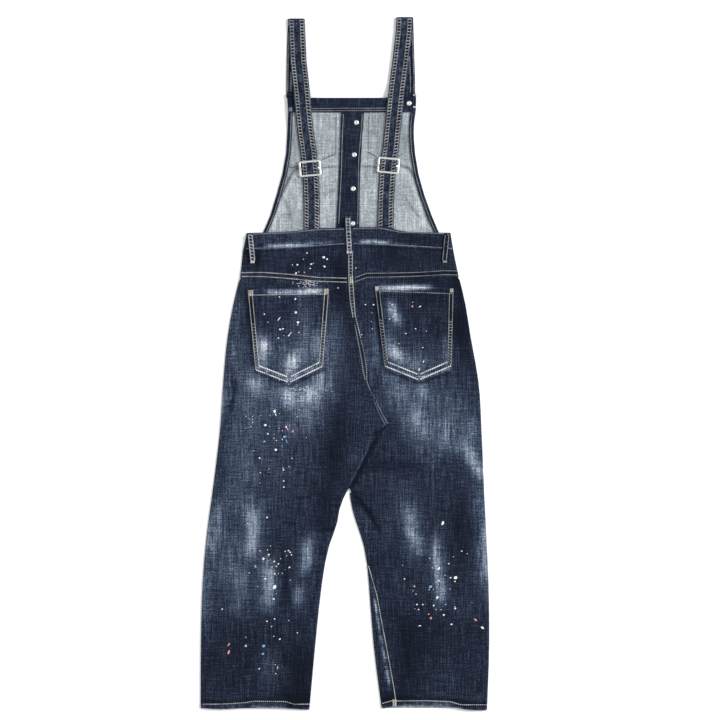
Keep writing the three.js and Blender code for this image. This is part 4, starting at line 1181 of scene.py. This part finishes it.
class DUNGAREES_OT_pockets(bpy.types.Operator):
    """Makes the two seat pockets on the leg backs"""

    bl_idname = "dungarees.pockets"
    bl_label = "Seat pockets"

    def execute(self, context):
        cloth = settings()
        edge = np.array([0.0, 0.006, 0.015])
        shares = np.concatenate([edge, np.linspace(0.03, 0.97, 61), 1 - edge[::-1]])
        for side in ("left", "right"):
            node = "pocket_" + side
            corners = pocket_corners(node)
            x, y = pocket_plan(corners, shares, shares)
            u, v = np.meshgrid(shares, shares)
            solid = Solid(node)
            ask_x, ask_y = pocket_plan(corners, np.clip(shares, 0.01, 0.99), np.clip(shares, 0.01, 0.92))
            height = softened(solid.top(ask_x, ask_y), 8) + relief(x, y)
            wide = np.linalg.norm(corners[1] - corners[0])
            deep = np.linalg.norm(corners[0] - corners[4])
            from_edge = np.minimum(np.minimum(u, 1 - u) * wide, v * deep)
            from_mouth = (1 - v) * deep
            height = height - 0.7 * MM * np.exp(-((from_edge / (1.6 * MM)) ** 2))
            # The turned edge stands up between its two rows of stitching, and the mouth has a hem
            height = height + 0.3 * MM * np.exp(-(((from_edge - 6 * MM) / (3.5 * MM)) ** 2))
            puckers = 0.25 * MM * rough(x, y, 8 * MM, 9.0)
            height = height + np.where(from_mouth < cloth.seam_lap, 0.5 * MM + puckers, 0.0)
            height = height + 0.9 * MM * np.exp(-(((u - 0.5) / 0.34) ** 2)) * ease(v, 0.3, 0.95)
            worn = wear_and_shade_tone(x, y) + edge_wear_and_shade(from_mouth, 2 * MM, 0.12)
            # Between the two rows the folded edge puckers into dark dimples
            dimples = 0.5 + 0.8 * rough(x, y, 5 * MM, 27.0)
            worn = worn - dimples * edge_wear_and_shade(from_edge - 5 * MM, 3 * MM, 0.2)
            points = np.stack([x, y, height], axis=-1)
            piece = add_cloth(node, points, cloth.thickness, "denim", "reverse", worn)
            declare_cloth(points, [node])
        return {"FINISHED"}


def flat_piece(node, step, rolled=(False, False), base=None):
    """Points of a bib piece from its solid, with level ends."""
    solid = Solid(node)
    left, right = solid.side_edges()
    low, high = solid.low[1], solid.high[1]

    def level(value):
        return lambda x: np.full_like(x, value)

    rows = levels_between(low, high, step)
    x, y = plan_between(left, right, level(low), level(high), rows, step, rolled)
    from_left, from_right = x - left(y), right(y) - x
    inset = [4 * MM if turned else 0.5 * MM for turned in rolled]
    ask_x = np.clip(x, left(y) + inset[0], right(y) - inset[1])
    ask_y = np.clip(y, low + 0.6 * MM, high - 0.6 * MM)
    height = softened(solid.top(ask_x, ask_y), 6) + np.maximum(relief(x, y), -0.25 * MM)
    for turned, away in zip(rolled, (from_left, from_right)):
        if turned:
            height = roll_down(height, away, base(x, y))
    return np.stack([x, y, height], axis=-1), from_left, from_right


class DUNGAREES_OT_bib(bpy.types.Operator):
    """Makes the two halves of the bib, seen from the pale inside"""

    bl_idname = "dungarees.bib"
    bl_label = "Bib"

    def execute(self, context):
        cloth = settings()
        for node in ("bib_left", "bib_right"):
            points, _, _ = flat_piece(node, 2 * MM)
            x, y = points[..., 0], points[..., 1]
            worn = 0.5 + 0.08 * rough(x, y, 0.05, 13.0) + 0.07 * rough(x, 0.1 * y, 8 * MM, 14.0)
            # The strokes add painted shade and painted shadow lines to the inside's tone
            worn = worn + strokes_of(BIB_TONES_AND_SHADE, x, y)
            piece = add_cloth(node, points, cloth.thickness, "reverse", "dark", worn)
            declare_cloth(points, [node])
        return {"FINISHED"}


class DUNGAREES_OT_bib_facings(bpy.types.Operator):
    """Makes the button facing, the top band and the side bindings of the bib"""

    bl_idname = "dungarees.bib_facings"
    bl_label = "Bib facings"

    def execute(self, context):
        cloth = settings()

        def under(node):
            solid = Solid(node)
            left, right = solid.side_edges()

            def base(x, y):
                ask = np.clip(x, left(y) + 4 * MM, right(y) - 4 * MM)
                within = np.clip(y, solid.low[1] + 1 * MM, solid.high[1] - 1 * MM)
                return np.maximum(solid.top(ask, within) - 2.7 * MM, 0)

            return base

        for node, rolled in (
            ("bib_placket", (False, False)),
            ("bib_band", (True, True)),
            ("bib_binding_left", (True, False)),
            ("bib_binding_right", (False, True)),
        ):
            points, from_left, from_right = flat_piece(node, 2 * MM, rolled, under(node))
            x, y = points[..., 0], points[..., 1]
            away = np.minimum(from_left, from_right)
            worn = 0.18 + 0.08 * rough(x, y, 0.02, 17.0) + edge_wear_and_shade(away, 1.2 * MM, 0.1)
            piece = add_cloth(node, points, cloth.thickness, "dark", "reverse", worn)
            declare_cloth(points, [node])
        return {"FINISHED"}


def strap_route(node):
    """Rows of a strap's middle, up the back run and down the front: left x, right x, y and z."""
    solid = Solid(node)
    lowest_front = min(p[1] for p in solid.points if p[2] < 0.1 * MM)
    fold = solid.high[1] - 2.2 * MM
    split = STRAP_THICKNESS + 0.15 * MM

    def run(places, keep):
        rows = []
        for place in places:
            cut = solid.crossing(1, place)
            cut = cut[keep(cut[:, 2])]
            rows.append((cut[:, 0].min(), cut[:, 0].max(), place, 0.5 * (cut[:, 2].min() + cut[:, 2].max())))
        return np.array(rows)

    tucked = np.arange(solid.low[1] + 1.5 * MM, lowest_front - 1 * MM, STRAP_STEP)
    doubled = np.arange(lowest_front + 1 * MM, fold - 4 * MM, STRAP_STEP)
    back = np.concatenate([run(tucked, lambda z: z > -1), run(doubled, lambda z: z > split)])
    front = run(doubled[::-1], lambda z: z < split)
    return back, front, fold


class DUNGAREES_OT_straps(bpy.types.Operator):
    """Makes the two shoulder straps, doubled ribbons that fold over at the shoulder"""

    bl_idname = "dungarees.straps"
    bl_label = "Shoulder straps"

    def execute(self, context):
        half = STRAP_THICKNESS / 2
        for side in ("left", "right"):
            node = "strap_" + side
            back, front, fold = strap_route(node)
            back[:, 3] = softened(back[:, 3:4], 1)[:, 0]
            angles = np.radians(np.linspace(75, -75, 11))
            bend = 1.15 * MM
            turn = np.linspace(0, 1, len(angles))
            over = np.stack(
                [
                    back[-1, 0] + (front[0, 0] - back[-1, 0]) * turn,
                    back[-1, 1] + (front[0, 1] - back[-1, 1]) * turn,
                    fold + bend * np.cos(angles),
                    bend + half + bend * np.sin(angles),
                ],
                axis=-1,
            )
            # The end of the front run is looped over the hook's bar
            looped = np.repeat(front[-1:], len(STRAP_END_LOOP), axis=0)
            looped[:, 2:4] += np.array(STRAP_END_LOOP) * MM
            route = np.concatenate([back, over, front, looped])
            shares = np.array(STRAP_SHARES)
            x = route[:, 0:1] + (route[:, 1:2] - route[:, 0:1]) * shares
            y = np.repeat(route[:, 2:3], len(shares), axis=1)
            z = np.repeat(route[:, 3:4], len(shares), axis=1)
            middle = np.stack([x, y, z], axis=-1)
            ahead = np.gradient(middle, axis=0)
            facing = np.cross(np.array([1.0, 0, 0]), ahead)
            normals = facing / (np.linalg.norm(facing, axis=2, keepdims=True) + 1e-12)
            plump = half * (1 - 0.75 * np.abs(2 * shares - 1) ** 14)
            ridged = 0.16 * MM * np.exp(-(((np.abs(2 * shares - 1) - 0.65) / 0.2) ** 2))
            wobble = 0.12 * MM * rough(x, y, 12 * MM, 31.0)
            # Between each pair of rows the cloth puckers: worn rungs stand up, with dark dimples between
            travelled = np.cumsum(np.linalg.norm(ahead[:, 0], axis=1))[:, None]
            phase = travelled / LADDER_PITCH + 0.6 * rough(x, y, 25 * MM, 33.0)
            rung = 0.5 + 0.5 * np.cos(2 * math.pi * phase)
            banded = np.exp(-(((shares - 0.17) / 0.085) ** 2)) + np.exp(-(((shares - 0.815) / 0.095) ** 2))
            on_back = np.arange(len(route)) < len(back)
            lifted = np.maximum(relief(x, y), 0) * on_back[:, None] * (y < fold - 60 * MM)
            middle = middle + np.stack([0 * x, 0 * x, lifted], axis=-1)
            outer = middle + normals * (plump + ridged + wobble - 0.3 * MM * banded * (1 - rung))[..., None]
            inner = middle - normals * (plump * np.ones_like(x))[..., None]
            outer[..., 2] = np.maximum(outer[..., 2], 0.02 * MM)
            inner[..., 2] = np.maximum(inner[..., 2], 0.02 * MM)
            worn = 0.24 + 0.14 * rough(x, y, 16 * MM, 19.0) + 0.22 * rough(x, y, 4 * MM, 27.0) - 0.16 * banded
            worn = worn + 0.25 * np.abs(2 * shares - 1) ** 24
            faces, slots = shell_faces(*x.shape)
            points = np.concatenate([outer.reshape(-1, 3), inner.reshape(-1, 3)])
            piece = add_object(
                node + "_cloth", points, faces, [MATERIALS["dark"], MATERIALS["dark"]], slots,
                {"rubbed": np.tile(worn.ravel(), 2)},
            )
            declare_cloth(outer, [node])
        return {"FINISHED"}


def sweep(path, section, closed):
    """Rings of a section (across, up) along a level path of points, as points and faces."""
    path = np.asarray(path)
    if closed:
        ahead = np.roll(path, -1, axis=0) - np.roll(path, 1, axis=0)
    else:
        ahead = np.gradient(path, axis=0)
    ahead = ahead / np.linalg.norm(ahead, axis=1, keepdims=True)
    side = np.stack([ahead[:, 1], -ahead[:, 0], 0 * ahead[:, 0]], axis=-1)
    up = np.array([0.0, 0.0, 1.0])
    points = path[:, None] + section[None, :, :1] * side[:, None] + section[None, :, 1:] * up
    count, around = len(path), len(section)
    faces = []
    for ring in range(count if closed else count - 1):
        after = (ring + 1) % count
        for step in range(around):
            ahead_step = (step + 1) % around
            low, high = ring * around, after * around
            faces.append((low + step, low + ahead_step, high + ahead_step, high + step))
    if not closed:
        faces.append(tuple(range(around))[::-1])
        faces.append(tuple((count - 1) * around + step for step in range(around)))
    return points.reshape(-1, 3), faces


def rounded_section(width, height, sharpness, count=14):
    angles = np.linspace(0, 2 * math.pi, count, endpoint=False)
    power = 2 / sharpness
    wide = np.sign(np.cos(angles)) * np.abs(np.cos(angles)) ** power
    high = np.sign(np.sin(angles)) * np.abs(np.sin(angles)) ** power
    return np.stack([wide * width / 2, high * height / 2], axis=-1)


def join_parts(parts):
    points, faces, start = [], [], 0
    for part_points, part_faces in parts:
        points.append(part_points)
        faces += [tuple(i + start for i in face) for face in part_faces]
        start += len(part_points)
    return np.concatenate(points), faces


def turned_outward(name, points, faces, materials):
    """Adds a closed piece with its faces pointing out."""
    piece = add_object(name, points, faces, materials)
    edit = bmesh.new()
    edit.from_mesh(piece.data)
    bmesh.ops.recalc_face_normals(edit, faces=edit.faces)
    edit.to_mesh(piece.data)
    edit.free()
    return piece


def corner_rounded(width, height, radius, steps=5):
    points = []
    for quarter, (sx, sy) in enumerate(((1, 1), (-1, 1), (-1, -1), (1, -1))):
        for angle in np.linspace(0, math.pi / 2, steps + 1) + quarter * math.pi / 2:
            points.append(
                (
                    sx * (width / 2 - radius) + radius * math.cos(angle),
                    sy * (height / 2 - radius) + radius * math.sin(angle),
                )
            )
    return np.array(points)


class DUNGAREES_OT_strap_fittings(bpy.types.Operator):
    """Makes the strap sliders and the wire hooks"""

    bl_idname = "dungarees.strap_fittings"
    bl_label = "Sliders and hooks"

    def execute(self, context):
        width, height = (size - SLIDER_BAR for size in SLIDER_SIZE)
        for side, lean in SLIDER_LEANS.items():
            low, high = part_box("strap_slider_" + side)
            middle = (low + high) / 2
            turn = np.array([[math.cos(lean), math.sin(lean)], [-math.sin(lean), math.cos(lean)]])
            frame_line = corner_rounded(width, height, 2.2 * MM)
            section = rounded_section(SLIDER_BAR, 2.2 * MM, 3.0)
            parts = []
            bar_line = np.stack([np.linspace(-0.5, 0.5, 9) * width, np.zeros(9)], axis=-1)
            for line, closed in ((frame_line, True), (bar_line, False)):
                turned = line @ turn + np.array([middle.x, middle.y])
                path = np.concatenate([turned, np.full((len(turned), 1), middle.z)], axis=1)
                parts.append(sweep(path, section, closed))
            points, faces = join_parts(parts)
            slider = turned_outward(f"strap_slider_{side}_frame", points, faces, [MATERIALS["nickel"]])
            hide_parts("strap_slider_" + side)

            low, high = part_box("strap_hook_" + side)
            centre_x, top_y = (low.x + high.x) / 2, high.y - HOOK_WIRE / 2
            half = (high.x - low.x) / 2 - HOOK_WIRE / 2
            drop = high.y - low.y - HOOK_WIRE
            right_side = [
                (half - 2 * MM, 0), (half, -2.5 * MM), (half - 1.5 * MM, -6 * MM),
                (7 * MM, -0.55 * drop), (6 * MM, 4 * MM - drop),
            ]
            knots = [(0, 0)] + right_side + [(0, -drop)] + [(-x, y) for x, y in right_side[::-1]]
            wire_line = smooth_loop(np.array(knots), 6) + np.array([centre_x, top_y])
            path = np.concatenate([wire_line, np.full((len(wire_line), 1), 1.12 * MM)], axis=1)
            points, faces = sweep(path, rounded_section(HOOK_WIRE, HOOK_WIRE, 2.0, 12), True)
            hook = turned_outward(f"strap_hook_{side}_wire", points, faces, [MATERIALS["nickel"]])
            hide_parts("strap_hook_" + side)
        return {"FINISHED"}


def smooth_loop(knots, steps):
    """A closed smooth line through its knots."""
    points = []
    count = len(knots)
    for i in range(count):
        before, start, end, after = (knots[(i + k) % count] for k in (-1, 0, 1, 2))
        for t in np.linspace(0, 1, steps, endpoint=False):
            points.append(
                0.5
                * (
                    2 * start
                    + (end - before) * t
                    + (2 * before - 5 * start + 4 * end - after) * t**2
                    + (3 * start - before - 3 * end + after) * t**3
                )
            )
    return np.array(points)


class DUNGAREES_OT_button_backs(bpy.types.Operator):
    """Makes the metal backs of the bib's buttons"""

    bl_idname = "dungarees.button_backs"
    bl_label = "Button backs"

    def execute(self, context):
        around = 28
        nodes = [f"placket_button_{i}" for i in (1, 2, 3, 4)] + ["bib_button_left", "bib_button_right"]
        for node in nodes:
            low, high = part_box(node)
            middle = (low + high) / 2
            radius, tall = BUTTON_RADIUS, high.z - low.z
            raised = max(float(relief(np.array([middle.x]), np.array([middle.y]))[0]), 0)
            points = [(middle.x, middle.y, low.z + raised + BUTTON_PROFILE[0][1] * tall)]
            for r, h in BUTTON_PROFILE[1:-1]:
                for angle in np.linspace(0, 2 * math.pi, around, endpoint=False):
                    points.append(
                        (
                            middle.x + r * radius * math.cos(angle),
                            middle.y + r * radius * math.sin(angle),
                            low.z + raised + h * tall,
                        )
                    )
            rings = len(BUTTON_PROFILE) - 2
            faces = [(0, 1 + s, 1 + (s + 1) % around) for s in range(around)]
            for ring in range(rings - 1):
                for s in range(around):
                    a, b = 1 + ring * around + s, 1 + ring * around + (s + 1) % around
                    faces.append((a, a + around, b + around, b))
            faces.append(tuple(1 + (rings - 1) * around + s for s in range(around)))
            button = turned_outward(node + "_cap", np.array(points), faces, [MATERIALS["button"]])
            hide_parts(node)
        return {"FINISHED"}


class DUNGAREES_OT_belt_loops(bpy.types.Operator):
    """Makes the three belt loops over the waistband"""

    bl_idname = "dungarees.belt_loops"
    bl_label = "Belt loops"

    def execute(self, context):
        for place, paleness in (("left", 0.4), ("centre", 0.42), ("right", 0.16)):
            node = "belt_loop_" + place
            points, from_left, from_right = flat_piece(node, 1.5 * MM)
            x, y = points[..., 0], points[..., 1]
            away = np.minimum(from_left, from_right)
            points[..., 2] += 0.3 * MM * np.exp(-(((away - 3.5 * MM) / (1.6 * MM)) ** 2))
            points[..., 2] -= 0.5 * MM * np.exp(-((away / (0.9 * MM)) ** 2))
            worn = paleness + 0.35 * rough(x, y, 5 * MM, 23.0)
            flecks = 0.5 + 0.5 * np.cos(2 * math.pi * (y / (7.5 * MM) + 0.3 * rough(x, y, 12 * MM, 29.0)))
            worn = worn - 0.42 * flecks * ease(away, 2.2 * MM, 4.2 * MM)
            piece = add_cloth(node, points, 1.4 * MM, "denim", "denim", worn)
            declare_cloth(points, [node])
        return {"FINISHED"}


def points_along(line, shares):
    """Points at shares of a line's length."""
    travelled = np.concatenate([[0], np.cumsum(np.hypot(*np.diff(line, axis=0).T))])
    return np.stack([np.interp(shares * travelled[-1], travelled, line[:, axis]) for axis in (0, 1)], axis=-1)


def stitches_along(line, length, pitch):
    """Start and end of each stitch along a line of points seen from above."""
    line = np.asarray(line)
    whole_length = np.hypot(*np.diff(line, axis=0).T).sum()
    places = np.arange(0.3 * MM, whole_length - length, pitch)
    return points_along(line, places / whole_length), points_along(line, (places + length) / whole_length)


def thread_bars(starts, ends, width):
    """Closed rounded bars of thread between pairs of points, with their ends sunk into the cloth."""
    rings = ((0.0, 0.5, -0.2), (0.2, 1.0, 0.16), (0.8, 1.0, 0.16), (1.0, 0.5, -0.2))
    angles = np.arange(6) * math.pi / 3
    ahead = ends - starts
    side = np.stack([ahead[:, 1], -ahead[:, 0], 0 * ahead[:, 0]], axis=-1)
    side = side / np.linalg.norm(side, axis=1, keepdims=True)
    up = np.array([0.0, 0.0, 1.0])
    points = np.zeros((len(starts), len(rings), len(angles), 3))
    for ring, (share, size, lift) in enumerate(rings):
        middle = starts + share * ahead + lift * width * up
        for corner, angle in enumerate(angles):
            out = 0.5 * width * size * math.cos(angle)
            points[:, ring, corner] = middle + out * side + 0.4 * width * size * math.sin(angle) * up
    index = np.arange(points[..., 0].size).reshape(points.shape[:3])
    after = np.roll(index, -1, axis=2)
    walls = np.stack([index[:, :-1], index[:, 1:], after[:, 1:], after[:, :-1]], axis=-1).reshape(-1, 4)
    caps = np.concatenate([index[:, 0], index[:, -1, ::-1]])
    return points.reshape(-1, 3), walls.tolist() + caps.tolist()


class Sewing:
    """Gathers the stitches of one layer by thread, lays them on it and makes one piece of each thread."""

    def __init__(self, layer):
        self.layer = layer
        self.cloth = Solid(*LAYERS[layer])
        self.ends = {}

    def add(self, starts, ends, thread):
        heights = [self.cloth.top(flat[:, 0], flat[:, 1]) for flat in (starts, ends)]
        laid = [np.column_stack([flat, height]) for flat, height in zip((starts, ends), heights)]
        self.ends.setdefault(thread, []).append(laid)

    def row(self, line, thread):
        self.add(*stitches_along(line, sewing().stitch, sewing().pitch), thread)

    def tack(self, low, high, thread):
        """A bar tack: stitches laid close beside each other until they fill a small box."""
        heights = np.arange(low[1] + 0.6 * MM, high[1], 1.9 * MM)
        starts = np.column_stack([np.full(len(heights), low[0]), heights])
        ends = np.column_stack([np.full(len(heights), high[0]), heights + 0.5 * MM])
        middles = (starts + ends) / 2
        self.add(starts, middles, thread)
        self.add(middles, ends, thread)

    def finish(self, slot):
        for thread, laid in self.ends.items():
            starts, ends = (np.concatenate([pair[k] for pair in laid]) for k in (0, 1))
            points, faces = thread_bars(starts, ends, sewing().thread)
            piece = turned_outward(f"stitching_{self.layer}_{thread}", points, faces, [MATERIALS[thread]])


def inset_corners(corners, inset):
    """The corners of a closed outline moved inward by a distance for each side."""
    count = len(corners)
    middle = np.mean(corners, axis=0)
    lines = []
    for i in range(count):
        start, end = corners[i], corners[(i + 1) % count]
        normal = np.array([end[1] - start[1], start[0] - end[0]]) / np.hypot(*(end - start))
        if normal @ (middle - start) < 0:
            normal = -normal
        lines.append((normal, normal @ start + inset[i]))
    moved = []
    for i in range(count):
        (n1, d1), (n2, d2) = lines[i - 1], lines[i]
        moved.append(np.linalg.solve(np.array([n1, n2]), np.array([d1, d2])))
    return moved


class DUNGAREES_OT_stitching(bpy.types.Operator):
    """Sews the seams, hems, pockets, belt loops, bib and straps with rows of stitches"""

    bl_idname = "dungarees.stitching"
    bl_label = "Stitching"

    def execute(self, context):
        layers = {name: Sewing(name) for name in LAYERS}
        for layer, thread, line in STITCH_ROWS:
            layers[layer].row(photo_line(line), thread)
        for tack in TACKS:
            left, top, right, bottom = tack["box"]
            layers[tack["on"]].tack(at_photo(left, bottom), at_photo(right, top), tack.get("thread", "ecru"))
        self.sew_rungs(layers["trousers"], *(photo_line(line) for line in SEAM_LADDER), "grey")
        for node, thread in (("pocket_left", "dull"), ("pocket_right", "grey")):
            self.sew_pocket(layers["pockets"], pocket_corners(node), thread)
        for place, thread in (("left", "dull"), ("centre", "dull"), ("right", "grey")):
            rows = self.sew_edges(layers["loops"], "belt_loop_" + place, (1.6 * MM, -1.6 * MM), thread)
            if place != "right":
                self.sew_rungs(layers["loops"], *rows, thread)
        self.sew_edges(layers["facings"], "bib_binding_left", (-3 * MM,), "grey")
        self.sew_edges(layers["facings"], "bib_binding_right", (3 * MM,), "grey")
        for side in ("left", "right"):
            self.sew_strap(layers["straps"], "strap_" + side)
        slots = {"bib": "reverse_denim", "facings": "facing_denim", "straps": "dark_denim"}
        for name, layer in layers.items():
            layer.finish(slots.get(name, "worn_denim"))
        return {"FINISHED"}

    def sew_rungs(self, layer, left, right, thread):
        """Short stitches from one row to another, where the cloth between them puckers and wears."""
        count = int(np.hypot(*np.diff(left, axis=0).T).sum() / LADDER_PITCH)
        shares = (np.arange(count) + 0.5) / count
        starts, ends = (points_along(line, shares) for line in (left, right))
        ends[:, 1] += 0.8 * MM * rough(ends[:, 0], ends[:, 1], 9 * MM, 35.0)
        middles = (starts + ends) / 2
        layer.add(starts, middles, thread)
        layer.add(middles, ends, thread)

    def sew_pocket(self, layer, corners, thread):
        """Two rows round the sides and foot, and one along the hem of the mouth."""
        hem, side, foot = 11 * MM, 8 * MM, 10.5 * MM
        outer = inset_corners(corners, [1.2 * MM] * 5)
        inner = inset_corners(corners, [hem, side, foot, foot, side])
        for ring in (outer, inner):
            mouth_left, mouth_right, low_right, point, low_left = ring
            for mouth, low in ((mouth_left, low_left), (mouth_right, low_right)):
                layer.row([mouth, low], thread)
                for lift in (0, 0.9 * MM):
                    layer.row([low + (0, lift), point + (0, lift)], "pale")
        ends = inset_corners(corners, [hem, 2 * MM, foot, foot, 2 * MM])
        layer.row([ends[0], ends[1]], thread)
        for top, low in ((0, 4), (1, 2)):
            lines = [np.array([0.6 * ring[top] + 0.4 * ring[low], ring[low]]) for ring in (outer, inner)]
            self.sew_rungs(layer, *lines, "grey")

    def sew_edges(self, layer, node, insets, thread):
        """A row along the left edge for each inset above 0, and along the right edge for each below it."""
        solid = Solid(node)
        edges = solid.side_edges()
        y = np.linspace(solid.low[1] + 1.5 * MM, solid.high[1] - 1.5 * MM, 40)
        rows = []
        for inset in insets:
            edge = edges[0] if inset > 0 else edges[1]
            rows.append(np.column_stack([edge(y) + inset, y]))
            layer.row(rows[-1], thread)
        return rows

    def sew_strap(self, layer, node):
        """Four rows along the strap with rungs between the rows of each pair."""
        back, front, fold = strap_route(node)
        back = np.concatenate([back, back[-1:]])
        back[-1, 2] = fold + 0.6 * MM

        def along(run, share):
            return np.column_stack([run[:, 0] + (run[:, 1] - run[:, 0]) * share, run[:, 2]])

        for share in STRAP_ROWS:
            layer.row(along(back, share), "grey")
            # The front run shows only where the back run leaves it uncovered
            starts, ends = stitches_along(along(front, share), sewing().stitch, sewing().pitch)
            seen = layer.cloth.top(starts[:, 0], starts[:, 1]) < 2.6 * MM
            if seen.any():
                layer.add(starts[seen], ends[seen], "grey")
        for pair in (STRAP_ROWS[:2], STRAP_ROWS[2:]):
            self.sew_rungs(layer, *(along(back, share) for share in pair), "dull")


class DUNGAREES_OT_paint(bpy.types.Operator):
    """Drips, spatters and smears dried paint on the seat and legs"""

    bl_idname = "dungarees.paint"
    bl_label = "Paint spatter"

    def execute(self, context):
        chance = random.Random(11)
        cloth = Solid(*LAYERS["trousers"], *LAYERS["pockets"], *LAYERS["loops"])
        drops = {"white": [], "red": [], "blue": []}
        for colour, middle, long, wide, lean in PAINT_DROPS:
            drops[colour].append((at_photo(*middle), long, wide, math.radians(lean)))
        for group in SPATTER:
            for _ in range(group["count"]):
                middle = [chance.gauss(m, s) for m, s in zip(group["middle"], group["spread"])]
                size = group["size"] * chance.uniform(0.55, 1.15)
                long = size * chance.uniform(1, 1.5)
                drops["white"].append((at_photo(*middle), long, size, chance.uniform(0, 3)))
        for smear in SMEARS:
            for _ in range(smear["count"]):
                middle = [chance.gauss(m, s) for m, s in zip(smear["middle"], smear["spread"])]
                long = smear["length"] * chance.uniform(0.3, 1)
                wide = 0.42 * chance.uniform(0.6, 1.5)
                drops["white"].append((at_photo(*middle), long, wide, chance.gauss(0.2, 0.8)))
        for colour, each in drops.items():
            parts = [self.film(cloth, chance, *drop) for drop in each]
            points, faces = join_parts(parts)
            piece = turned_outward("paint_" + colour, points, faces, [MATERIALS[colour]])
        return {"FINISHED"}

    def film(self, cloth, chance, middle, long, wide, lean):
        """One closed film of paint with an uneven rim, lying on the cloth."""
        around = 12
        thick = 0.25 * MM + 0.06 * MM * wide
        angles = np.arange(around) * 2 * math.pi / around
        reach = np.array([chance.uniform(0.8, 1.15) for _ in range(around)])
        reach = (reach + np.roll(reach, 1)) / 2
        along = 0.5 * long * PHOTO_PIXEL * reach * np.cos(angles)
        sideways = 0.5 * wide * PHOTO_PIXEL * reach * np.sin(angles)
        cosine, sine = math.cos(lean), math.sin(lean)
        flat = np.column_stack([along * cosine - sideways * sine, along * sine + sideways * cosine])
        rings = []
        for share, lift in ((1.0, -0.12 * MM), (0.92, 0.5 * thick), (0.55, thick)):
            place = np.array(middle) + share * flat
            rings.append(np.column_stack([place, cloth.top(place[:, 0], place[:, 1]) + lift]))
        centre_z = rings[2][:, 2].mean()
        points = np.concatenate(rings + [[(*middle, centre_z)], [(*middle, rings[0][:, 2].min() - 0.2 * MM)]])
        faces = []
        for step in range(around):
            ahead = (step + 1) % around
            for ring in (0, around):
                faces.append((ring + step, ring + ahead, ring + around + ahead, ring + around + step))
            faces.append((2 * around + step, 2 * around + ahead, 3 * around))
            faces.append((ahead, step, 3 * around + 1))
        return points, faces


class DUNGAREES_OT_stage(bpy.types.Operator):
    """Makes the floor, the lights and the camera"""

    bl_idname = "dungarees.stage"
    bl_label = "Stage"

    def execute(self, context):
        scene = context.scene
        mesh = bpy.data.meshes.new("floor")
        half = 6.0
        mesh.from_pydata(
            [(-half, -half, 0), (half, -half, 0), (half, half, 0), (-half, half, 0)], [], [(0, 1, 2, 3)]
        )
        floor = bpy.data.objects.new("floor", mesh)
        scene.collection.objects.link(floor)
        material, _, surface = new_material("white_paper_floor")
        surface.inputs["Base Color"].default_value = linear("#f4f4f4")
        surface.inputs["Roughness"].default_value = 0.9
        surface.inputs["Emission Color"].default_value = (1, 1, 1, 1)
        surface.inputs["Emission Strength"].default_value = 0.04
        mesh.materials.append(material)

        world = bpy.data.worlds.new("soft_room")
        world.use_nodes = True
        background = world.node_tree.nodes["Background"]
        background.inputs["Color"].default_value = (1, 1, 1, 1)
        background.inputs["Strength"].default_value = 0.5
        scene.world = world
        for name, place, size, power in (
            ("key_light", (4.4, 1.2, 2.7), 2.0, 385),
            ("fill_light", (-1.8, -0.6, 2.4), 2.5, 22),
        ):
            light = bpy.data.lights.new(name, "AREA")
            light.shape = "DISK"
            light.size = size
            light.energy = power
            lamp = bpy.data.objects.new(name, light)
            lamp.location = place
            lamp.rotation_euler = (-Vector(place)).to_track_quat("-Z", "Y").to_euler()
            scene.collection.objects.link(lamp)

        camera = bpy.data.cameras.new("photo_camera")
        camera.lens = 85
        camera.sensor_width = 36
        view_width = PHOTO_PIXELS * PHOTO_PIXEL
        holder = bpy.data.objects.new("photo_camera", camera)
        holder.location = (*at_photo(*PHOTO_MIDDLE), view_width * camera.lens / camera.sensor_width + 4 * MM)
        scene.collection.objects.link(holder)
        scene.camera = holder
        scene.view_settings.view_transform = "Standard"
        return {"FINISHED"}


class DUNGAREES_PT_panel(bpy.types.Panel):
    bl_idname = "DUNGAREES_PT_panel"
    bl_label = "Dungarees"
    bl_space_type = "VIEW_3D"
    bl_region_type = "UI"
    bl_category = "Dungarees"

    def draw(self, context):
        for group in (context.scene.dungarees_cloth, context.scene.dungarees_sewing):
            for key in group.bl_rna.properties.keys():
                if key not in ("rna_type", "name"):
                    self.layout.prop(group, key)
        for operator in OPERATORS:
            self.layout.operator(operator.bl_idname)


OPERATORS = (
    DUNGAREES_OT_stage,
    DUNGAREES_OT_legs,
    DUNGAREES_OT_fronts,
    DUNGAREES_OT_waist,
    DUNGAREES_OT_pockets,
    DUNGAREES_OT_bib,
    DUNGAREES_OT_bib_facings,
    DUNGAREES_OT_straps,
    DUNGAREES_OT_strap_fittings,
    DUNGAREES_OT_button_backs,
    DUNGAREES_OT_belt_loops,
    DUNGAREES_OT_stitching,
    DUNGAREES_OT_paint,
)
CLASSES = (ClothProperties, SewingProperties, *OPERATORS, DUNGAREES_PT_panel)


def register():
    for each in CLASSES:
        bpy.utils.register_class(each)
    bpy.types.Scene.dungarees_cloth = bpy.props.PointerProperty(type=ClothProperties)
    bpy.types.Scene.dungarees_sewing = bpy.props.PointerProperty(type=SewingProperties)


def unregister():
    del bpy.types.Scene.dungarees_sewing
    del bpy.types.Scene.dungarees_cloth
    for each in reversed(CLASSES):
        bpy.utils.unregister_class(each)


def main():
    register()
    make_materials()
    for operator in OPERATORS:
        group, name = operator.bl_idname.split(".")
        getattr(getattr(bpy.ops, group), name)()


if __name__ == "__main__":
    main()
